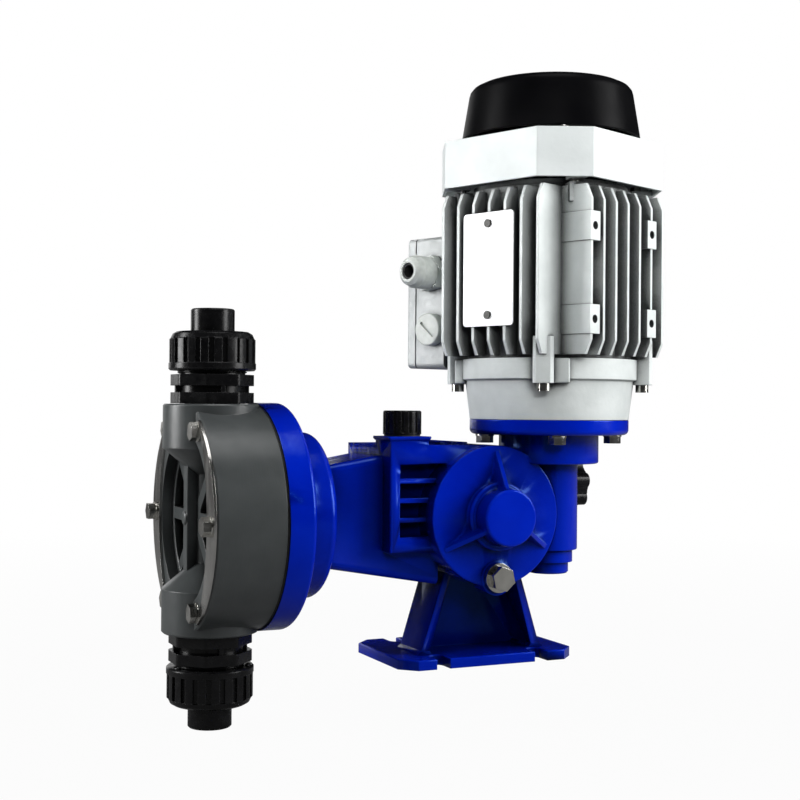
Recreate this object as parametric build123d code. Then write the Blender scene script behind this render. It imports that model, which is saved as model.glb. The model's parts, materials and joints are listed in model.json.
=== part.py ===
from build123d import *
import os
from math import cos, pi, radians, sin, sqrt, tan

# Motor-driven diaphragm metering pump.
# Frame: origin at the centre of the foot's underside, +Z up, the pump head looks
# along -X, the round face of the gearbox looks along -Y. All sizes in millimetres.

# Clearances
slip = 0.05            # radial, a round piece in the hole that holds it
run = 0.05             # radial, a shaft that turns or slides in its bore
seat_gap = 0.3         # a moving piece from what it comes to rest against
screw_gap = 0.3        # radial, a screw in its hole

# Gear train
axis_z = 96.5          # height of the pump axis and of the eccentric shaft
wheel_x = -3.0         # eccentric shaft, along Y
wheel_y = -30.0        # middle of the worm wheel's face
gear_module = 2.5
worm_starts = 2
wheel_teeth = 30
worm_pitch_r = 12.5
wheel_face = 14.0
worm_length = 24.0
tooth_backlash = 0.45  # on each flank
throw = 3.0            # of the eccentric, so the full stroke is twice this
cam_r = 13.0
cam_wall = 3.0
cam_width = 14.0

# Gearbox casting
barrel_r = 45.0
barrel_wall = 4.0
barrel_near = -50.0
barrel_far = 31.0
near_wall = 5.0
boss_r = 18.0
boss_step_r = 22.0
boss_step = 7.0
boss_proud = 20.0
gusset_base = 11.0      # width of a gusset's foot beside the boss
gusset_crest = 2.6
block_left = -72.4
block_near = -40.0
block_height = 67.0
post_width = 6.4
rib_thick = 3.0
rib_count = 5
rib_pitch = 12.3
pocket_near = 15.0
pocket_far = 7.0
filler_width = 26.0
filler_depth = 24.0
filler_rise = 5.5
lip_thick = 2.6
lip_proud = 1.6
crest_width = 3.0
crest_height = 1.8
crest_count = 3
crest_pitch = 8.0

# Neck, hub and the ring that carries the head
neck_hub_half = 31.0
neck_block_half = 45.0
neck_hub_width = 25.0
neck_block_width = 29.0
neck_end = -34.0
hub_r = 52.4
hub_back = -111.5
ring_r = 71.0
ring_back = -132.2
ring_front = -149.2
dish_r = 47.0
dish_depth = 14.0

# Foot
foot_length = 126.0
foot_width = 84.0
foot_thick = 6.5
foot_corner = 10.0
slot_width = 9.4
slot_depth = 15.0
slot_spacing = 71.0
leg_thick = 6.0
leg_foot_x = 44.0
leg_lean = 17.2        # degrees from upright
leg_near = -25.0
leg_far = 7.0
leg_root = 2.2          # flare where a leg meets the foot

# Worm housing, drum and motor flange
worm_case_r = 19.3
worm_case_bottom = 72.0
bolt_room = 6.5        # from the barrel's top to the flange, for the bolt heads
drum_r = 33.0
drum_height = 19.0     # below the flange
flange_r = 52.5
flange_thick = 10.0
cap_flange_r = 16.2
cap_flange_thick = 8.0
cap_boss_r = 13.5
cap_boss_height = 7.6

# Rolling bearings: outer radius, bore radius, width
small_bearing = (14.0, 6.0, 8.0)
worm_foot_bearing = (13.0, 5.0, 8.0)
worm_bearing = (23.5, 12.5, 12.0)
motor_bearing = (17.5, 7.5, 11.0)

# Plunger and diaphragm
rod_r = 8.0
rod_end_r = 5.0
yoke_thick = 8.0
yoke_width = 30.0
yoke_arm = 8.0         # thickness of the arm over the eccentric
stop_thick = 5.0
yoke_bottom = 15.0     # below the axis
bush_r = 12.0
bush_length = 26.0
seal_width = 6.0
disc_r = 34.0
disc_thick = 6.0
diaphragm_thick = 1.5
spring_wire = 3.0
spring_r = 13.5
spring_turns = 6
spring_seat = -58.0

# Stroke adjuster
knob_rise = 16.0       # of the knob's axis over the pump axis
knob_r = 17.5
knob_lobes = 6
knob_near = 70.0
knob_length = 18.0
spindle_r = 5.0
spindle_flat = 3.9
adjuster_boss_r = 11.5
adjuster_bush_r = 8.0

# Head
head_r = 70.0
head_thick = 42.2
recess_r = 53.0
recess_depth = 7.0
window_depth = 20.0
spoke_width = 7.5
flow_rib_r = 11.0
port_back = 25.0       # union axis in front of the diaphragm
port_boss_r = 30.0
port_boss_end = 70.0   # from the pump axis
port_boss_straight = 27.0
port_cone = 16.0
socket_r = 17.0
socket_depth = 20.0
flow_r = 6.0
crescent_inner = 54.0
crescent_tip = 60.5    # degrees from level
crescent_thick = 1.6
head_bolts = 6
head_bolt_circle = 62.0
bolt_r = 3.0

# Valves and unions, measured outwards from the pump axis
collar_r = 24.0
collar_thick = 6.8
collar_groove = 4.2
groove_r = 20.2
collar_rib = 2.6        # width of the ribs across the groove
valve_end = 99.0
chamber_r = 9.5
valve_bore_r = 8.0
seat_height = 8.0
seat_bore_r = 4.5
ball_r = 5.5
ball_lift = 3.0
cage_height = 15.0
nut_r = 26.8
nut_start = 90.5
nut_end = 114.3
nut_flutes = 20
nut_band = 4.3          # plain band at the open end
nut_dome = 4.7          # height of the rounded shoulder
tail_flange_r = 19.6
tail_flange_thick = 5.5
nozzle_r = 13.5
nozzle_end = 128.5
pipe_r = 10.0
pipe_depth = 17.0
tail_bore_r = 7.5

# Motor, drawn in its own frame about its upright axis
gear_centres = gear_module * wheel_teeth / 2 + worm_pitch_r
motor_x = wheel_x + gear_centres
motor_y = wheel_y
motor_turn = 21.4      # degrees, about the motor's axis
shaft_r = 7.0
spigot_r = 35.0
spigot_height = 2.4
bolt_circle = 42.5
shield_height = 39.0
shield_rim = 13.0
shield_lip = 2.5
shield_cone_r = 55.5
frame_r = 54.0
frame_bore = 45.0
frame_height = 109.0
fin_half = 62.7
fin_pitch = 13.0
fin_count = 7
fin_root = 3.6
fin_tip = 2.2
fin_margin = 2.0
lug_r = 61.0
lug_size = 13.0
lug_height = 13.0
shield_lug_turn = 214.6
cowl_lug_turn = 233.0
cowl_gap = 2.0
cowl_height = 30.6
cowl_half = 62.7
cowl_chamfer = 24.8
cowl_wall = 2.0
canopy_r = 59.0
canopy_top_r = 53.0
canopy_gap = 4.0
canopy_height = 38.4
canopy_wall = 2.5
stack_rise = 18.0      # from the shield to the stack
stack_height = 62.0
air_gap = 0.4
rotor_r = 27.0
box_half = 41.0
box_inner = 57.5
box_seam = 83.0
box_outer = 91.5
box_drop = 5.0         # below the top of the shield
box_height = 89.0
box_wall = 3.0
gasket_thick = 1.0
gland_drop = 25.0      # below the box's top
gland_y = 67.8
gland_stem_r = 7.0
gland_r = 10.4
gland_length = 25.0
cable_r = 4.2
plug_drop = 63.0       # below the box's top
plug_r = 11.0
plate_width = 41.0
plate_height = 72.0
plate_rise = 1.5       # above the middle of the fins
plate_thick = 0.8
pad_width = 10.0       # pads for screw-on feet
pad_height = 18.0
pad_shift = -5.0
pad_spacing = 62.0
pad_rise = 23.5
pad_pitch = 57.5

# Places worked out from the sizes above
stroke = 2 * throw
wheel_r = gear_module * wheel_teeth / 2
barrel_top = axis_z + barrel_r
flange_bottom = barrel_top + bolt_room
flange_top = flange_bottom + flange_thick
drum_bottom = flange_bottom - drum_height
shield_top = flange_top + shield_height
frame_top = shield_top + frame_height
cowl_bottom = frame_top + cowl_gap
cowl_top = cowl_bottom + cowl_height
canopy_bottom = cowl_top + canopy_gap
canopy_top = canopy_bottom + canopy_height
stack_bottom = shield_top + stack_rise
box_bottom = shield_top - box_drop
box_top = box_bottom + box_height
gland_z = box_top - gland_drop
plug_z = box_top - plug_drop
plate_z = (shield_top + frame_top) / 2 + plate_rise
chamber_wall_r = barrel_r - barrel_wall
head_back = ring_front - diaphragm_thick
head_front = head_back - head_thick
port_x = head_back - port_back
yoke_face = wheel_x - cam_r - throw - seat_gap
yoke_front = yoke_face - yoke_thick
yoke_under = cam_r + throw + seat_gap
yoke_top = yoke_under + yoke_arm
stop_near = wheel_x + throw + cam_r + 4 * seat_gap
stop_face = stop_near + stop_thick
knob_z = axis_z + knob_rise
rod_tip = ring_front + 3.0
disc_back = ring_front + disc_thick
disc_boss_back = disc_back + 10.0
bush_front = hub_back - 7.0
bush_back = bush_front + bush_length
worm_middle = axis_z
upper_bearing_bottom = drum_bottom + 5.0
worm_shaft_top = upper_bearing_bottom + worm_bearing[2] + 9.0
shaft_bottom = flange_top - 30.0
motor_place = Location((motor_x, motor_y, 0), (0, 0, motor_turn))
bolt_angles = [i * 360 / head_bolts for i in range(head_bolts)]


# Shapes used everywhere

def rod_x(r, x0, x1, y=0.0, z=axis_z):
    """Round bar along X from x0 to x1."""
    place = Plane(origin=(x0, y, z), z_dir=(1, 0, 0))
    return place * Cylinder(r, x1 - x0, align=(Align.CENTER, Align.CENTER, Align.MIN))


def rod_y(r, y0, y1, x=wheel_x, z=axis_z):
    """Round bar along Y from y0 to y1."""
    place = Plane(origin=(x, y0, z), z_dir=(0, 1, 0))
    return place * Cylinder(r, y1 - y0, align=(Align.CENTER, Align.CENTER, Align.MIN))


def rod_z(r, z0, z1, x=0.0, y=0.0):
    """Round bar along Z from z0 to z1."""
    return Pos(x, y, z0) * Cylinder(r, z1 - z0, align=(Align.CENTER, Align.CENTER, Align.MIN))


def block(x0, x1, y0, y1, z0, z1):
    """Box between two corners."""
    return Pos((x0 + x1) / 2, (y0 + y1) / 2, (z0 + z1) / 2) * Box(x1 - x0, y1 - y0, z1 - z0)


def turned(points, place=Location()):
    """Body of revolution about Z from (radius, height) corners, then placed."""
    outline = make_face(Polyline(*[(r, 0, h) for r, h in points], close=True))
    return place * revolve(outline, Axis.Z, 360)


def prism_y(points, y0, y1):
    """(x, z) outline drawn across the object and carried from y0 to y1."""
    outline = make_face(Polyline(*[(x, y0, z) for x, z in points], close=True))
    return extrude(outline, amount=y1 - y0, dir=(0, 1, 0))


def prism_z(points, z0, z1):
    """(x, y) outline carried up from z0 to z1."""
    outline = make_face(Polyline(*[(x, y, z0) for x, y in points], close=True))
    return extrude(outline, amount=z1 - z0, dir=(0, 0, 1))


def hexagon(across_flats, height, place, turn=0.0):
    """Six-sided head standing on a place's XY plane."""
    outline = Rot(0, 0, turn) * RegularPolygon(across_flats / 2, 6, major_radius=False)
    return place * extrude(outline, amount=height)


def joined(pieces):
    """Several separate solids as one sub-part."""
    return Compound(children=list(pieces))


def facing(origin, direction, x_dir=None):
    """Plane whose Z points along a direction."""
    return Plane(origin=origin, x_dir=x_dir, z_dir=direction)


along_x = facing((0, 0, axis_z), (1, 0, 0))       # heights along it are X values


def bearing(sizes, place):
    """Closed ball bearing: two rings with a shield set back between them."""
    outer, bore, width = sizes
    mid_in = bore + (outer - bore) * 0.3
    mid_out = bore + (outer - bore) * 0.7
    back = 0.6
    outline = [(bore, 0), (mid_in, 0), (mid_in, back), (mid_out, back), (mid_out, 0), (outer, 0),
               (outer, width), (mid_out, width), (mid_out, width - back), (mid_in, width - back),
               (mid_in, width), (bore, width)]
    return turned(outline, place)


# The gearbox casting

def foot():
    """Plate with cut corners and four open-ended slots."""
    half_l = foot_length / 2
    half_w = foot_width / 2
    plate = block(-half_l, half_l, -half_w, half_w, 0, foot_thick)
    plate = chamfer(plate.edges().filter_by(Axis.Z), foot_corner)
    for side in (-1, 1):
        for end in (-1, 1):
            x = end * slot_spacing / 2
            inner = side * (half_w - slot_depth + slot_width / 2)
            plate -= rod_z(slot_width / 2, -1, foot_thick + 1, x, inner)
            low, high = sorted((inner, side * (half_w + 1)))
            plate -= block(x - slot_width / 2, x + slot_width / 2, low, high, -1, foot_thick + 1)
    return fillet(plate.edges().group_by(Axis.Z)[-1], 0.8)


def pedestal():
    """Two leaning legs with a web set back between them."""
    slope = tan(radians(leg_lean))
    top = axis_z - barrel_r * 0.62
    run_in = slope * (top - foot_thick)
    legs = []
    for side in (-1, 1):
        outer = side * leg_foot_x
        inner = side * (leg_foot_x - leg_thick)
        lean = side * slope * leg_root
        corners = [(outer + side * leg_root, foot_thick), (outer - lean, foot_thick + leg_root),
                   (outer - side * run_in, top), (inner - side * run_in, top),
                   (inner - lean, foot_thick + leg_root), (inner - side * leg_root, foot_thick)]
        legs.append(prism_y(corners, leg_near, leg_far))
    half = leg_foot_x - leg_thick / 2
    web = prism_y([(-half, foot_thick), (half, foot_thick), (half - run_in, top), (-half + run_in, top)],
                  leg_far - leg_thick, leg_far)
    return legs[0] + legs[1] + web


def ribbed_block():
    """Square end of the gearbox with cooling ribs on both sides and crests on top."""
    bottom = barrel_top - block_height
    body = block(block_left, wheel_x, block_near, barrel_far, bottom, barrel_top)
    body = fillet(body.edges().filter_by(Axis.Z).group_by(Axis.X)[0], 1.5)
    top_rib = barrel_top - 10.0
    gap = rib_pitch - rib_thick
    for i in range(rib_count - 1):
        roof = top_rib - i * rib_pitch - rib_thick / 2
        left = block_left + post_width
        body -= block(left, wheel_x, block_near - 1, block_near + pocket_near, roof - gap, roof)
        body -= block(left, wheel_x, barrel_far - pocket_far, barrel_far + 1, roof - gap, roof)
    for i in range(crest_count):
        x = wheel_x - 13.0 - i * crest_pitch
        body += block(x - crest_width, x, block_near + 6, barrel_far - 3, barrel_top - 1,
                      barrel_top + crest_height)
    return body


def neck():
    """Wedge from the hub to the gearbox, widening both ways."""
    x0 = hub_back - 4
    side = prism_y([(x0, axis_z - neck_hub_half), (neck_end, axis_z - neck_block_half),
                    (neck_end, axis_z + neck_block_half), (x0, axis_z + neck_hub_half)], -60, 60)
    plan = prism_z([(x0, -neck_hub_width), (neck_end, -neck_block_width),
                    (neck_end, neck_block_width), (x0, neck_hub_width)], 0, 200)
    wedge = side & plan
    return fillet(wedge.edges().filter_by(GeomType.LINE).group_by(Axis.X)[1:-1][0], 5)


def hub():
    """Round hub with the wider ring that the head is bolted to."""
    body = turned([(0, ring_front), (ring_r, ring_front), (ring_r, ring_back), (hub_r + 3, ring_back),
                   (hub_r, ring_back + 3), (hub_r, hub_back), (0, hub_back)], along_x)
    rim = body.edges().filter_by(GeomType.CIRCLE).sort_by(SortBy.RADIUS)[-2:].sort_by(Axis.X)[-1]
    body = fillet(rim, 3)
    back = body.edges().filter_by(GeomType.CIRCLE).sort_by(Axis.X)[-1]
    return fillet(back, 5)


def near_boss():
    """Stepped boss on the round face, with three gussets and the drain boss."""
    front = facing((wheel_x, barrel_near, axis_z), (0, -1, 0))
    step = fillet(rod_y(boss_step_r, barrel_near - boss_step, barrel_near + 1).edges().filter_by(
        GeomType.CIRCLE).sort_by(Axis.Y)[0], 2)
    cap = fillet(rod_y(boss_r, barrel_near - boss_proud, barrel_near + 1).edges().filter_by(
        GeomType.CIRCLE).sort_by(Axis.Y)[0], 1.5)
    body = step + cap
    for turn in (90, 210, 330):
        body += front * Rot(0, 0, turn) * gusset()
    return body


def gusset():
    """Ridge from the boss down to the edge of the round face, narrowing as it goes."""
    crest = gusset_crest / 2
    tall = [(-gusset_base / 2, -1), (gusset_base / 2, -1), (crest, boss_proud - 4), (-crest, boss_proud - 4)]
    low = [(-crest - 1, -1), (crest + 1, -1), (crest, 0.3), (-crest, 0.3)]
    ends = []
    for r, corners in ((boss_r - 2, tall), (barrel_r - 3, low)):
        ends.append(make_face(Polyline(*[(r, y, z) for y, z in corners], close=True)))
    return loft(ends, ruled=True)


def drain_boss():
    """Round pad at the lowest point of the face, for the drain plug."""
    return rod_y(11, barrel_near - 1.5, barrel_near + 12, wheel_x, axis_z - 39.5)


def upper_works():
    """Worm housing, drum and the round flange that the motor stands on."""
    case = rod_z(worm_case_r, worm_case_bottom, drum_bottom + 1, motor_x, motor_y)
    case = fillet(case.edges().filter_by(GeomType.CIRCLE).sort_by(Axis.Z)[0], 1)
    drum = rod_z(drum_r, drum_bottom, flange_top - 1, motor_x, motor_y)
    drum = fillet(drum.edges().filter_by(GeomType.CIRCLE).sort_by(Axis.Z)[0], 1.5)
    flange = rod_z(flange_r, flange_bottom, flange_top, motor_x, motor_y)
    flange = fillet(flange.edges().filter_by(GeomType.CIRCLE).sort_by(Axis.Z)[0], 3.5)
    flange = fillet(flange.edges().filter_by(GeomType.CIRCLE).sort_by(Axis.Z)[-1], 0.8)
    return case + drum + flange


def filler():
    """Square oil filler with a lip."""
    x0 = block_left
    y0 = block_near
    top = barrel_top + filler_rise
    tower = block(x0, x0 + filler_width, y0, y0 + filler_depth, barrel_top - 12, top)
    lip = block(x0 - lip_proud, x0 + filler_width + lip_proud, y0 - lip_proud,
                y0 + filler_depth + lip_proud, top - lip_thick, top)
    lip = fillet(lip.edges().filter_by(Axis.Z), 1.5)
    return tower + chamfer(lip.edges().group_by(Axis.Z)[0], lip_proud * 0.75)


def cover_points():
    """Centres of the far cover's four screws."""
    r = barrel_r + 2.5
    return [(wheel_x + r * cos(radians(a)), axis_z + r * sin(radians(a))) for a in (45, 135, 225, 315)]


def gear_housing():
    """The blue casting, from the foot to the motor flange and the head ring."""
    body = rod_y(barrel_r, barrel_near, barrel_far)
    body = fillet(body.edges().filter_by(GeomType.CIRCLE).sort_by(Axis.Y)[0], 1)
    body += ribbed_block()
    body += neck()
    body += hub()
    body += near_boss()
    body += drain_boss()
    body += upper_works()
    body += filler()
    body += foot()
    body += pedestal()
    body += rod_x(adjuster_boss_r, wheel_x + 20, knob_near - 3, 0, knob_z)
    for x, z in cover_points():
        body += rod_y(6.5, barrel_far - 12, barrel_far, x, z)
    # The hollows, from the diaphragm back to the worm
    body -= rod_y(chamber_wall_r, barrel_near + near_wall, barrel_far + 1)
    outer, bore, width = small_bearing
    body -= rod_y(outer + slip, barrel_near - width - 1, barrel_near + near_wall + 1)
    body -= rod_y(bore + 2, barrel_near - boss_proud + 6, barrel_near)
    body -= block(spring_seat, wheel_x, -19, 19, axis_z - 19, axis_z + yoke_top + 3)
    body -= rod_x(rod_r + 0.4, bush_front, spring_seat + 1)
    body -= rod_x(bush_r + slip, ring_front, bush_back + seal_width)
    body -= turned([(0, ring_front - 1), (dish_r, ring_front - 1), (dish_r, ring_front + dish_depth - 4),
                    (dish_r - 12, ring_front + dish_depth), (bush_r + 6, ring_front + dish_depth),
                    (bush_r + 6, bush_front), (0, bush_front)], along_x)
    for a in bolt_angles:
        y, z = polar(head_bolt_circle, a)
        body -= rod_x(bolt_r + slip, ring_front - 1, ring_back - 2, y, axis_z + z)
    body -= rod_z(cap_flange_r + 0.5, worm_case_bottom - 20, worm_case_bottom, motor_x, motor_y)
    cap_outer = worm_foot_bearing[0] + slip
    body -= rod_z(cap_outer, worm_case_bottom - 1, worm_case_bottom + 10, motor_x, motor_y)
    body -= rod_z(worm_tip_r() + 0.8, worm_case_bottom + 9, upper_bearing_bottom, motor_x, motor_y)
    body -= rod_z(worm_bearing[0] + slip, upper_bearing_bottom, flange_top, motor_x, motor_y)
    body -= rod_z(spigot_r + slip, flange_top - spigot_height - 0.6, flange_top + 1, motor_x, motor_y)
    for x, y in flange_bolt_points():
        body -= rod_z(bolt_r + screw_gap, flange_bottom - 1, flange_top + 1, x, y)
    body -= rod_x(adjuster_bush_r + slip, knob_near - 15, knob_near, 0, knob_z)
    body -= rod_x(spindle_r + 1, wheel_x, knob_near, 0, knob_z)
    x, y = filler_point()
    body -= rod_z(8 + slip, barrel_top + filler_rise - 12, barrel_top + filler_rise + 1, x, y)
    body -= rod_y(5 + slip, barrel_near - 3, barrel_near + near_wall + 1, wheel_x, axis_z - 39.5 + 0.5)
    for x, z in cover_points():
        body -= rod_y(2.5 + slip, barrel_far - 10, barrel_far + 1, x, z)
    return body


def polar(r, degrees):
    """Point on a circle about the pump axis, level first."""
    return r * cos(radians(degrees)), r * sin(radians(degrees))


def filler_point():
    """Middle of the oil filler."""
    return block_left + filler_width / 2, block_near + filler_depth / 2


def flange_bolt_points():
    """Motor flange bolts, at the corners of the motor."""
    angles = [motor_turn + 45 + i * 90 for i in range(4)]
    return [(motor_x + bolt_circle * cos(radians(a)), motor_y + bolt_circle * sin(radians(a)))
            for a in angles]


def far_cover():
    """Lid over the far end of the barrel, carrying a shaft bearing."""
    y0 = barrel_far
    plate = rod_y(barrel_r, y0, y0 + 6)
    for x, z in cover_points():
        plate += rod_y(6.5, y0, y0 + 6, x, z)
    plate += rod_y(chamber_wall_r - 0.1, y0 - 4, y0)
    plate += rod_y(small_bearing[0] + 4, y0 - 11, y0)
    plate -= rod_y(small_bearing[0] + slip, y0 - 12, y0 - 2)
    plate -= rod_y(small_bearing[1] + 2, y0 - 12, y0 + 3)
    for x, z in cover_points():
        plate -= rod_y(2.5 + screw_gap, y0 - 1, y0 + 7, x, z)
    return plate


def cover_screws():
    """Four socket screws through the far cover."""
    pieces = []
    for x, z in cover_points():
        screw = rod_y(2.5, barrel_far - 9, barrel_far + 6, x, z)
        head = rod_y(4.25, barrel_far + 6, barrel_far + 11, x, z)
        socket = hexagon(4, 3, facing((x, barrel_far + 11, z), (0, -1, 0)))
        pieces.append(screw + head - socket)
    return joined(pieces)


def worm_end_cap():
    """Stepped cap under the worm housing."""
    z = worm_case_bottom
    low = z - cap_flange_thick
    spigot = worm_foot_bearing[0]
    return turned([(7, z + 0.6), (spigot, z + 0.6), (spigot, z), (cap_flange_r - 0.8, z),
                   (cap_flange_r, z - 0.8), (cap_flange_r, low), (cap_boss_r, low),
                   (cap_boss_r, low - cap_boss_height + 1), (cap_boss_r - 1, low - cap_boss_height),
                   (0, low - cap_boss_height), (0, z - 6), (7, z - 6)],
                  Location((motor_x, motor_y, 0)))


def oil_cap():
    """Ribbed plastic cap with a plug that fills the filler hole."""
    x, y = filler_point()
    seat = barrel_top + filler_rise + 1.2
    skirt = rod_z(12.2, seat, seat + 15, x, y)
    skirt = fillet(skirt.edges().filter_by(GeomType.CIRCLE).sort_by(Axis.Z)[-1], 1.2)
    for i in range(16):
        place = Pos(x, y, 0) * Rot(0, 0, i * 22.5)
        skirt -= place * block(11.5, 13, -0.9, 0.9, seat + 1, seat + 16)
    return skirt + rod_z(8, seat - 10, seat, x, y)


def oil_cap_seal():
    """Flat ring under the oil cap."""
    x, y = filler_point()
    z = barrel_top + filler_rise
    return rod_z(11.5, z, z + 1.2, x, y) - rod_z(8 + slip, z - 1, z + 2, x, y)


def drain_plug():
    """Flanged hexagon plug."""
    z = axis_z - 39.5 + 0.5
    face = barrel_near - 1.5
    place = facing((wheel_x, face - 3.4, z), (0, -1, 0))
    body = rod_y(9.4, face - 3.4, face - 1.0, wheel_x, z)
    body += hexagon(14, 6.5, place, 12)
    body += rod_y(5, face - 1.0, barrel_near + near_wall, wheel_x, z)
    return body


def drain_washer():
    """Sealing ring under the drain plug."""
    z = axis_z - 39.5 + 0.5
    face = barrel_near - 1.5
    return rod_y(9, face - 1.0, face, wheel_x, z) - rod_y(5 + slip, face - 2, face + 1, wheel_x, z)


# The gear train

def worm_tip_r():
    """Outer radius of the worm's threads."""
    return worm_pitch_r + gear_module


def worm_shaft():
    """Two-start worm on a hollow shaft that takes the motor's shaft."""
    root = worm_pitch_r - 1.25 * gear_module
    half = worm_length / 2
    low = worm_middle - half
    high = worm_middle + half
    bore = worm_foot_bearing[1]
    width = worm_foot_bearing[2]
    body = turned([(0, worm_case_bottom - 4), (bore, worm_case_bottom - 4),
                   (bore, worm_case_bottom + 0.9 + width), (root, worm_case_bottom + 0.9 + width),
                   (root, high + 3), (worm_bearing[1], high + 5), (worm_bearing[1], worm_shaft_top),
                   (shaft_r + slip, worm_shaft_top), (shaft_r + slip, shaft_bottom - 1),
                   (0, shaft_bottom - 1)])
    lead = pi * gear_module * worm_starts
    pitch_half = pi * gear_module / 4 - tooth_backlash
    flank = tan(radians(20)) * gear_module
    for start in range(worm_starts):
        path = Pos(0, 0, low) * Helix(lead, 2 * half, worm_pitch_r)
        outline = make_face(Polyline(
            (root - worm_pitch_r - 0.3, -pitch_half - 1.3 * flank), (gear_module, -pitch_half + flank),
            (gear_module, pitch_half - flank), (root - worm_pitch_r - 0.3, pitch_half + 1.3 * flank),
            close=True))
        section = Plane(origin=(worm_pitch_r, 0, low), x_dir=(1, 0, 0), z_dir=(0, -1, 0)) * outline
        thread = sweep(section, path=path, is_frenet=True)
        body += Rot(0, 0, start * 360 / worm_starts + worm_phase()) * thread
    return Pos(motor_x, motor_y, 0) * body


def worm_phase():
    """Turn that puts a gap of the worm's threads opposite the wheel tooth on the centre line."""
    lead = pi * gear_module * worm_starts
    return 180 - 360 * (worm_length / 2 - pi * gear_module / 2) / lead


def worm_seal():
    """Oil seal round the worm shaft, under the motor."""
    z = upper_bearing_bottom + worm_bearing[2] + 0.4
    outer, bore = worm_bearing[0], worm_bearing[1]
    return turned([(bore + 0.08, z), (outer, z), (outer, z + 6.5), (bore + 4, z + 6.5), (bore + 4, z + 2),
                   (bore + 0.08, z + 3)], Location((motor_x, motor_y, 0)))


def worm_wheel():
    """Thirty-tooth wheel, its teeth leaned to the worm's lead."""
    outer = wheel_r + gear_module - 0.2
    root = wheel_r - 1.25 * gear_module
    lean = 180 / pi * (worm_starts * gear_module / (2 * worm_pitch_r))
    half_pitch = pi * gear_module / 4 - tooth_backlash / 2
    flank = tan(radians(20)) * gear_module
    tooth_outline = make_face(Polyline(
        (root - 1.5, -half_pitch - 1.4 * flank), (outer, -half_pitch + 0.9 * flank),
        (outer, half_pitch - 0.9 * flank), (root - 1.5, half_pitch + 1.4 * flank), close=True))
    tooth = extrude(tooth_outline, amount=wheel_face * 0.75, both=True)
    tooth = Rot(-lean, 0, 0) * tooth
    wheel = Cylinder(root, wheel_face)
    wheel += [Rot(0, 0, i * 360 / wheel_teeth) * tooth for i in range(wheel_teeth)]
    wheel &= Cylinder(outer, wheel_face)
    for side in (-1, 1):
        ring = Pos(0, 0, side * wheel_face / 2) * (Cylinder(root - 6, 7) - Cylinder(15, 8))
        wheel -= ring
    wheel -= Cylinder(8 + slip, wheel_face + 2)
    return facing((wheel_x, wheel_y, axis_z), (0, 1, 0), (1, 0, 0)) * wheel


def eccentric_shaft():
    """Shaft with the eccentric turned on it, its throw away from the head at rest."""
    outer, bore, width = small_bearing
    near_end = barrel_near - width - 2
    far_end = barrel_far + 1
    body = rod_y(bore, near_end, far_end)
    body += rod_y(8, barrel_near - 0.9 + 0.2, wheel_y + wheel_face / 2 + 0.5)
    # the collar stays clear of the yoke at full stroke
    collar = cam_r - throw - seat_gap
    body += rod_y(collar, wheel_y + wheel_face / 2 + 0.5, -cam_width / 2)
    body += rod_y(cam_r - cam_wall, -cam_width / 2, cam_width / 2, wheel_x + throw)
    body += rod_y(8, cam_width / 2, barrel_far - 11.5)
    return body


def cam_ring():
    """Needle-bearing ring round the eccentric."""
    outer = rod_y(cam_r, -cam_width / 2, cam_width / 2, wheel_x + throw)
    return outer - rod_y(cam_r - cam_wall + slip, -cam_width, cam_width, wheel_x + throw)


# The plunger

def plunger():
    """Rod with the yoke that the eccentric pushes, and its arm back to the stroke stop."""
    body = rod_x(rod_r, disc_boss_back, yoke_front + 1)
    body += rod_x(rod_end_r, rod_tip, disc_boss_back + 1)
    half = yoke_width / 2
    yoke = block(yoke_front, yoke_face, -half, half, axis_z - yoke_bottom, axis_z + yoke_top)
    yoke += block(yoke_face - 1, stop_face, -half, half, axis_z + yoke_under, axis_z + yoke_top)
    yoke += block(stop_near, stop_face, -half, half, knob_z - spindle_r - 1, axis_z + yoke_top)
    trim = block(yoke_front, stop_face, -half, half, axis_z - yoke_bottom, axis_z + yoke_top)
    return body + (yoke & fillet(trim.edges().filter_by(Axis.X), 4))


def diaphragm_disc():
    """Steel disc behind the diaphragm, screwed on the plunger."""
    body = turned([(0, ring_front), (disc_r - 4, ring_front), (disc_r, ring_front + 3),
                   (disc_r - 5, disc_back), (11, disc_back), (11, disc_boss_back - 2),
                   (9, disc_boss_back), (0, disc_boss_back)], along_x)
    return body - rod_x(rod_end_r + slip, rod_tip - 0.5, disc_boss_back + 1)


def diaphragm():
    """Round sheet clamped under the head, with one rolled fold."""
    t = diaphragm_thick
    fold_in, fold_out = disc_r + 1, dish_r - 1
    mid = (fold_in + fold_out) / 2
    dip = 2.2
    body = turned([(0, head_back), (fold_in, head_back), (mid, head_back + dip), (fold_out, head_back),
                   (head_r - 0.2, head_back), (head_r - 0.2, head_back + t), (fold_out, head_back + t),
                   (mid, head_back + t + dip), (fold_in, head_back + t), (0, head_back + t)], along_x)
    for a in bolt_angles:
        y, z = polar(head_bolt_circle, a)
        body -= rod_x(bolt_r + screw_gap, head_back - 1, head_back + t + 1, y, axis_z + z)
    return body


def guide_bush():
    """Bronze bush that guides the plunger."""
    return rod_x(bush_r, bush_front + 0.5, bush_back) - rod_x(rod_r + run, bush_front, bush_back + 1)


def rod_seal():
    """Lip seal behind the bush."""
    return turned([(rod_r + 0.08, bush_back + 2), (rod_r + 2, bush_back + 0.1), (bush_r, bush_back + 0.1),
                   (bush_r, bush_back + seal_width), (rod_r + 0.08, bush_back + seal_width)], along_x)


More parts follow.
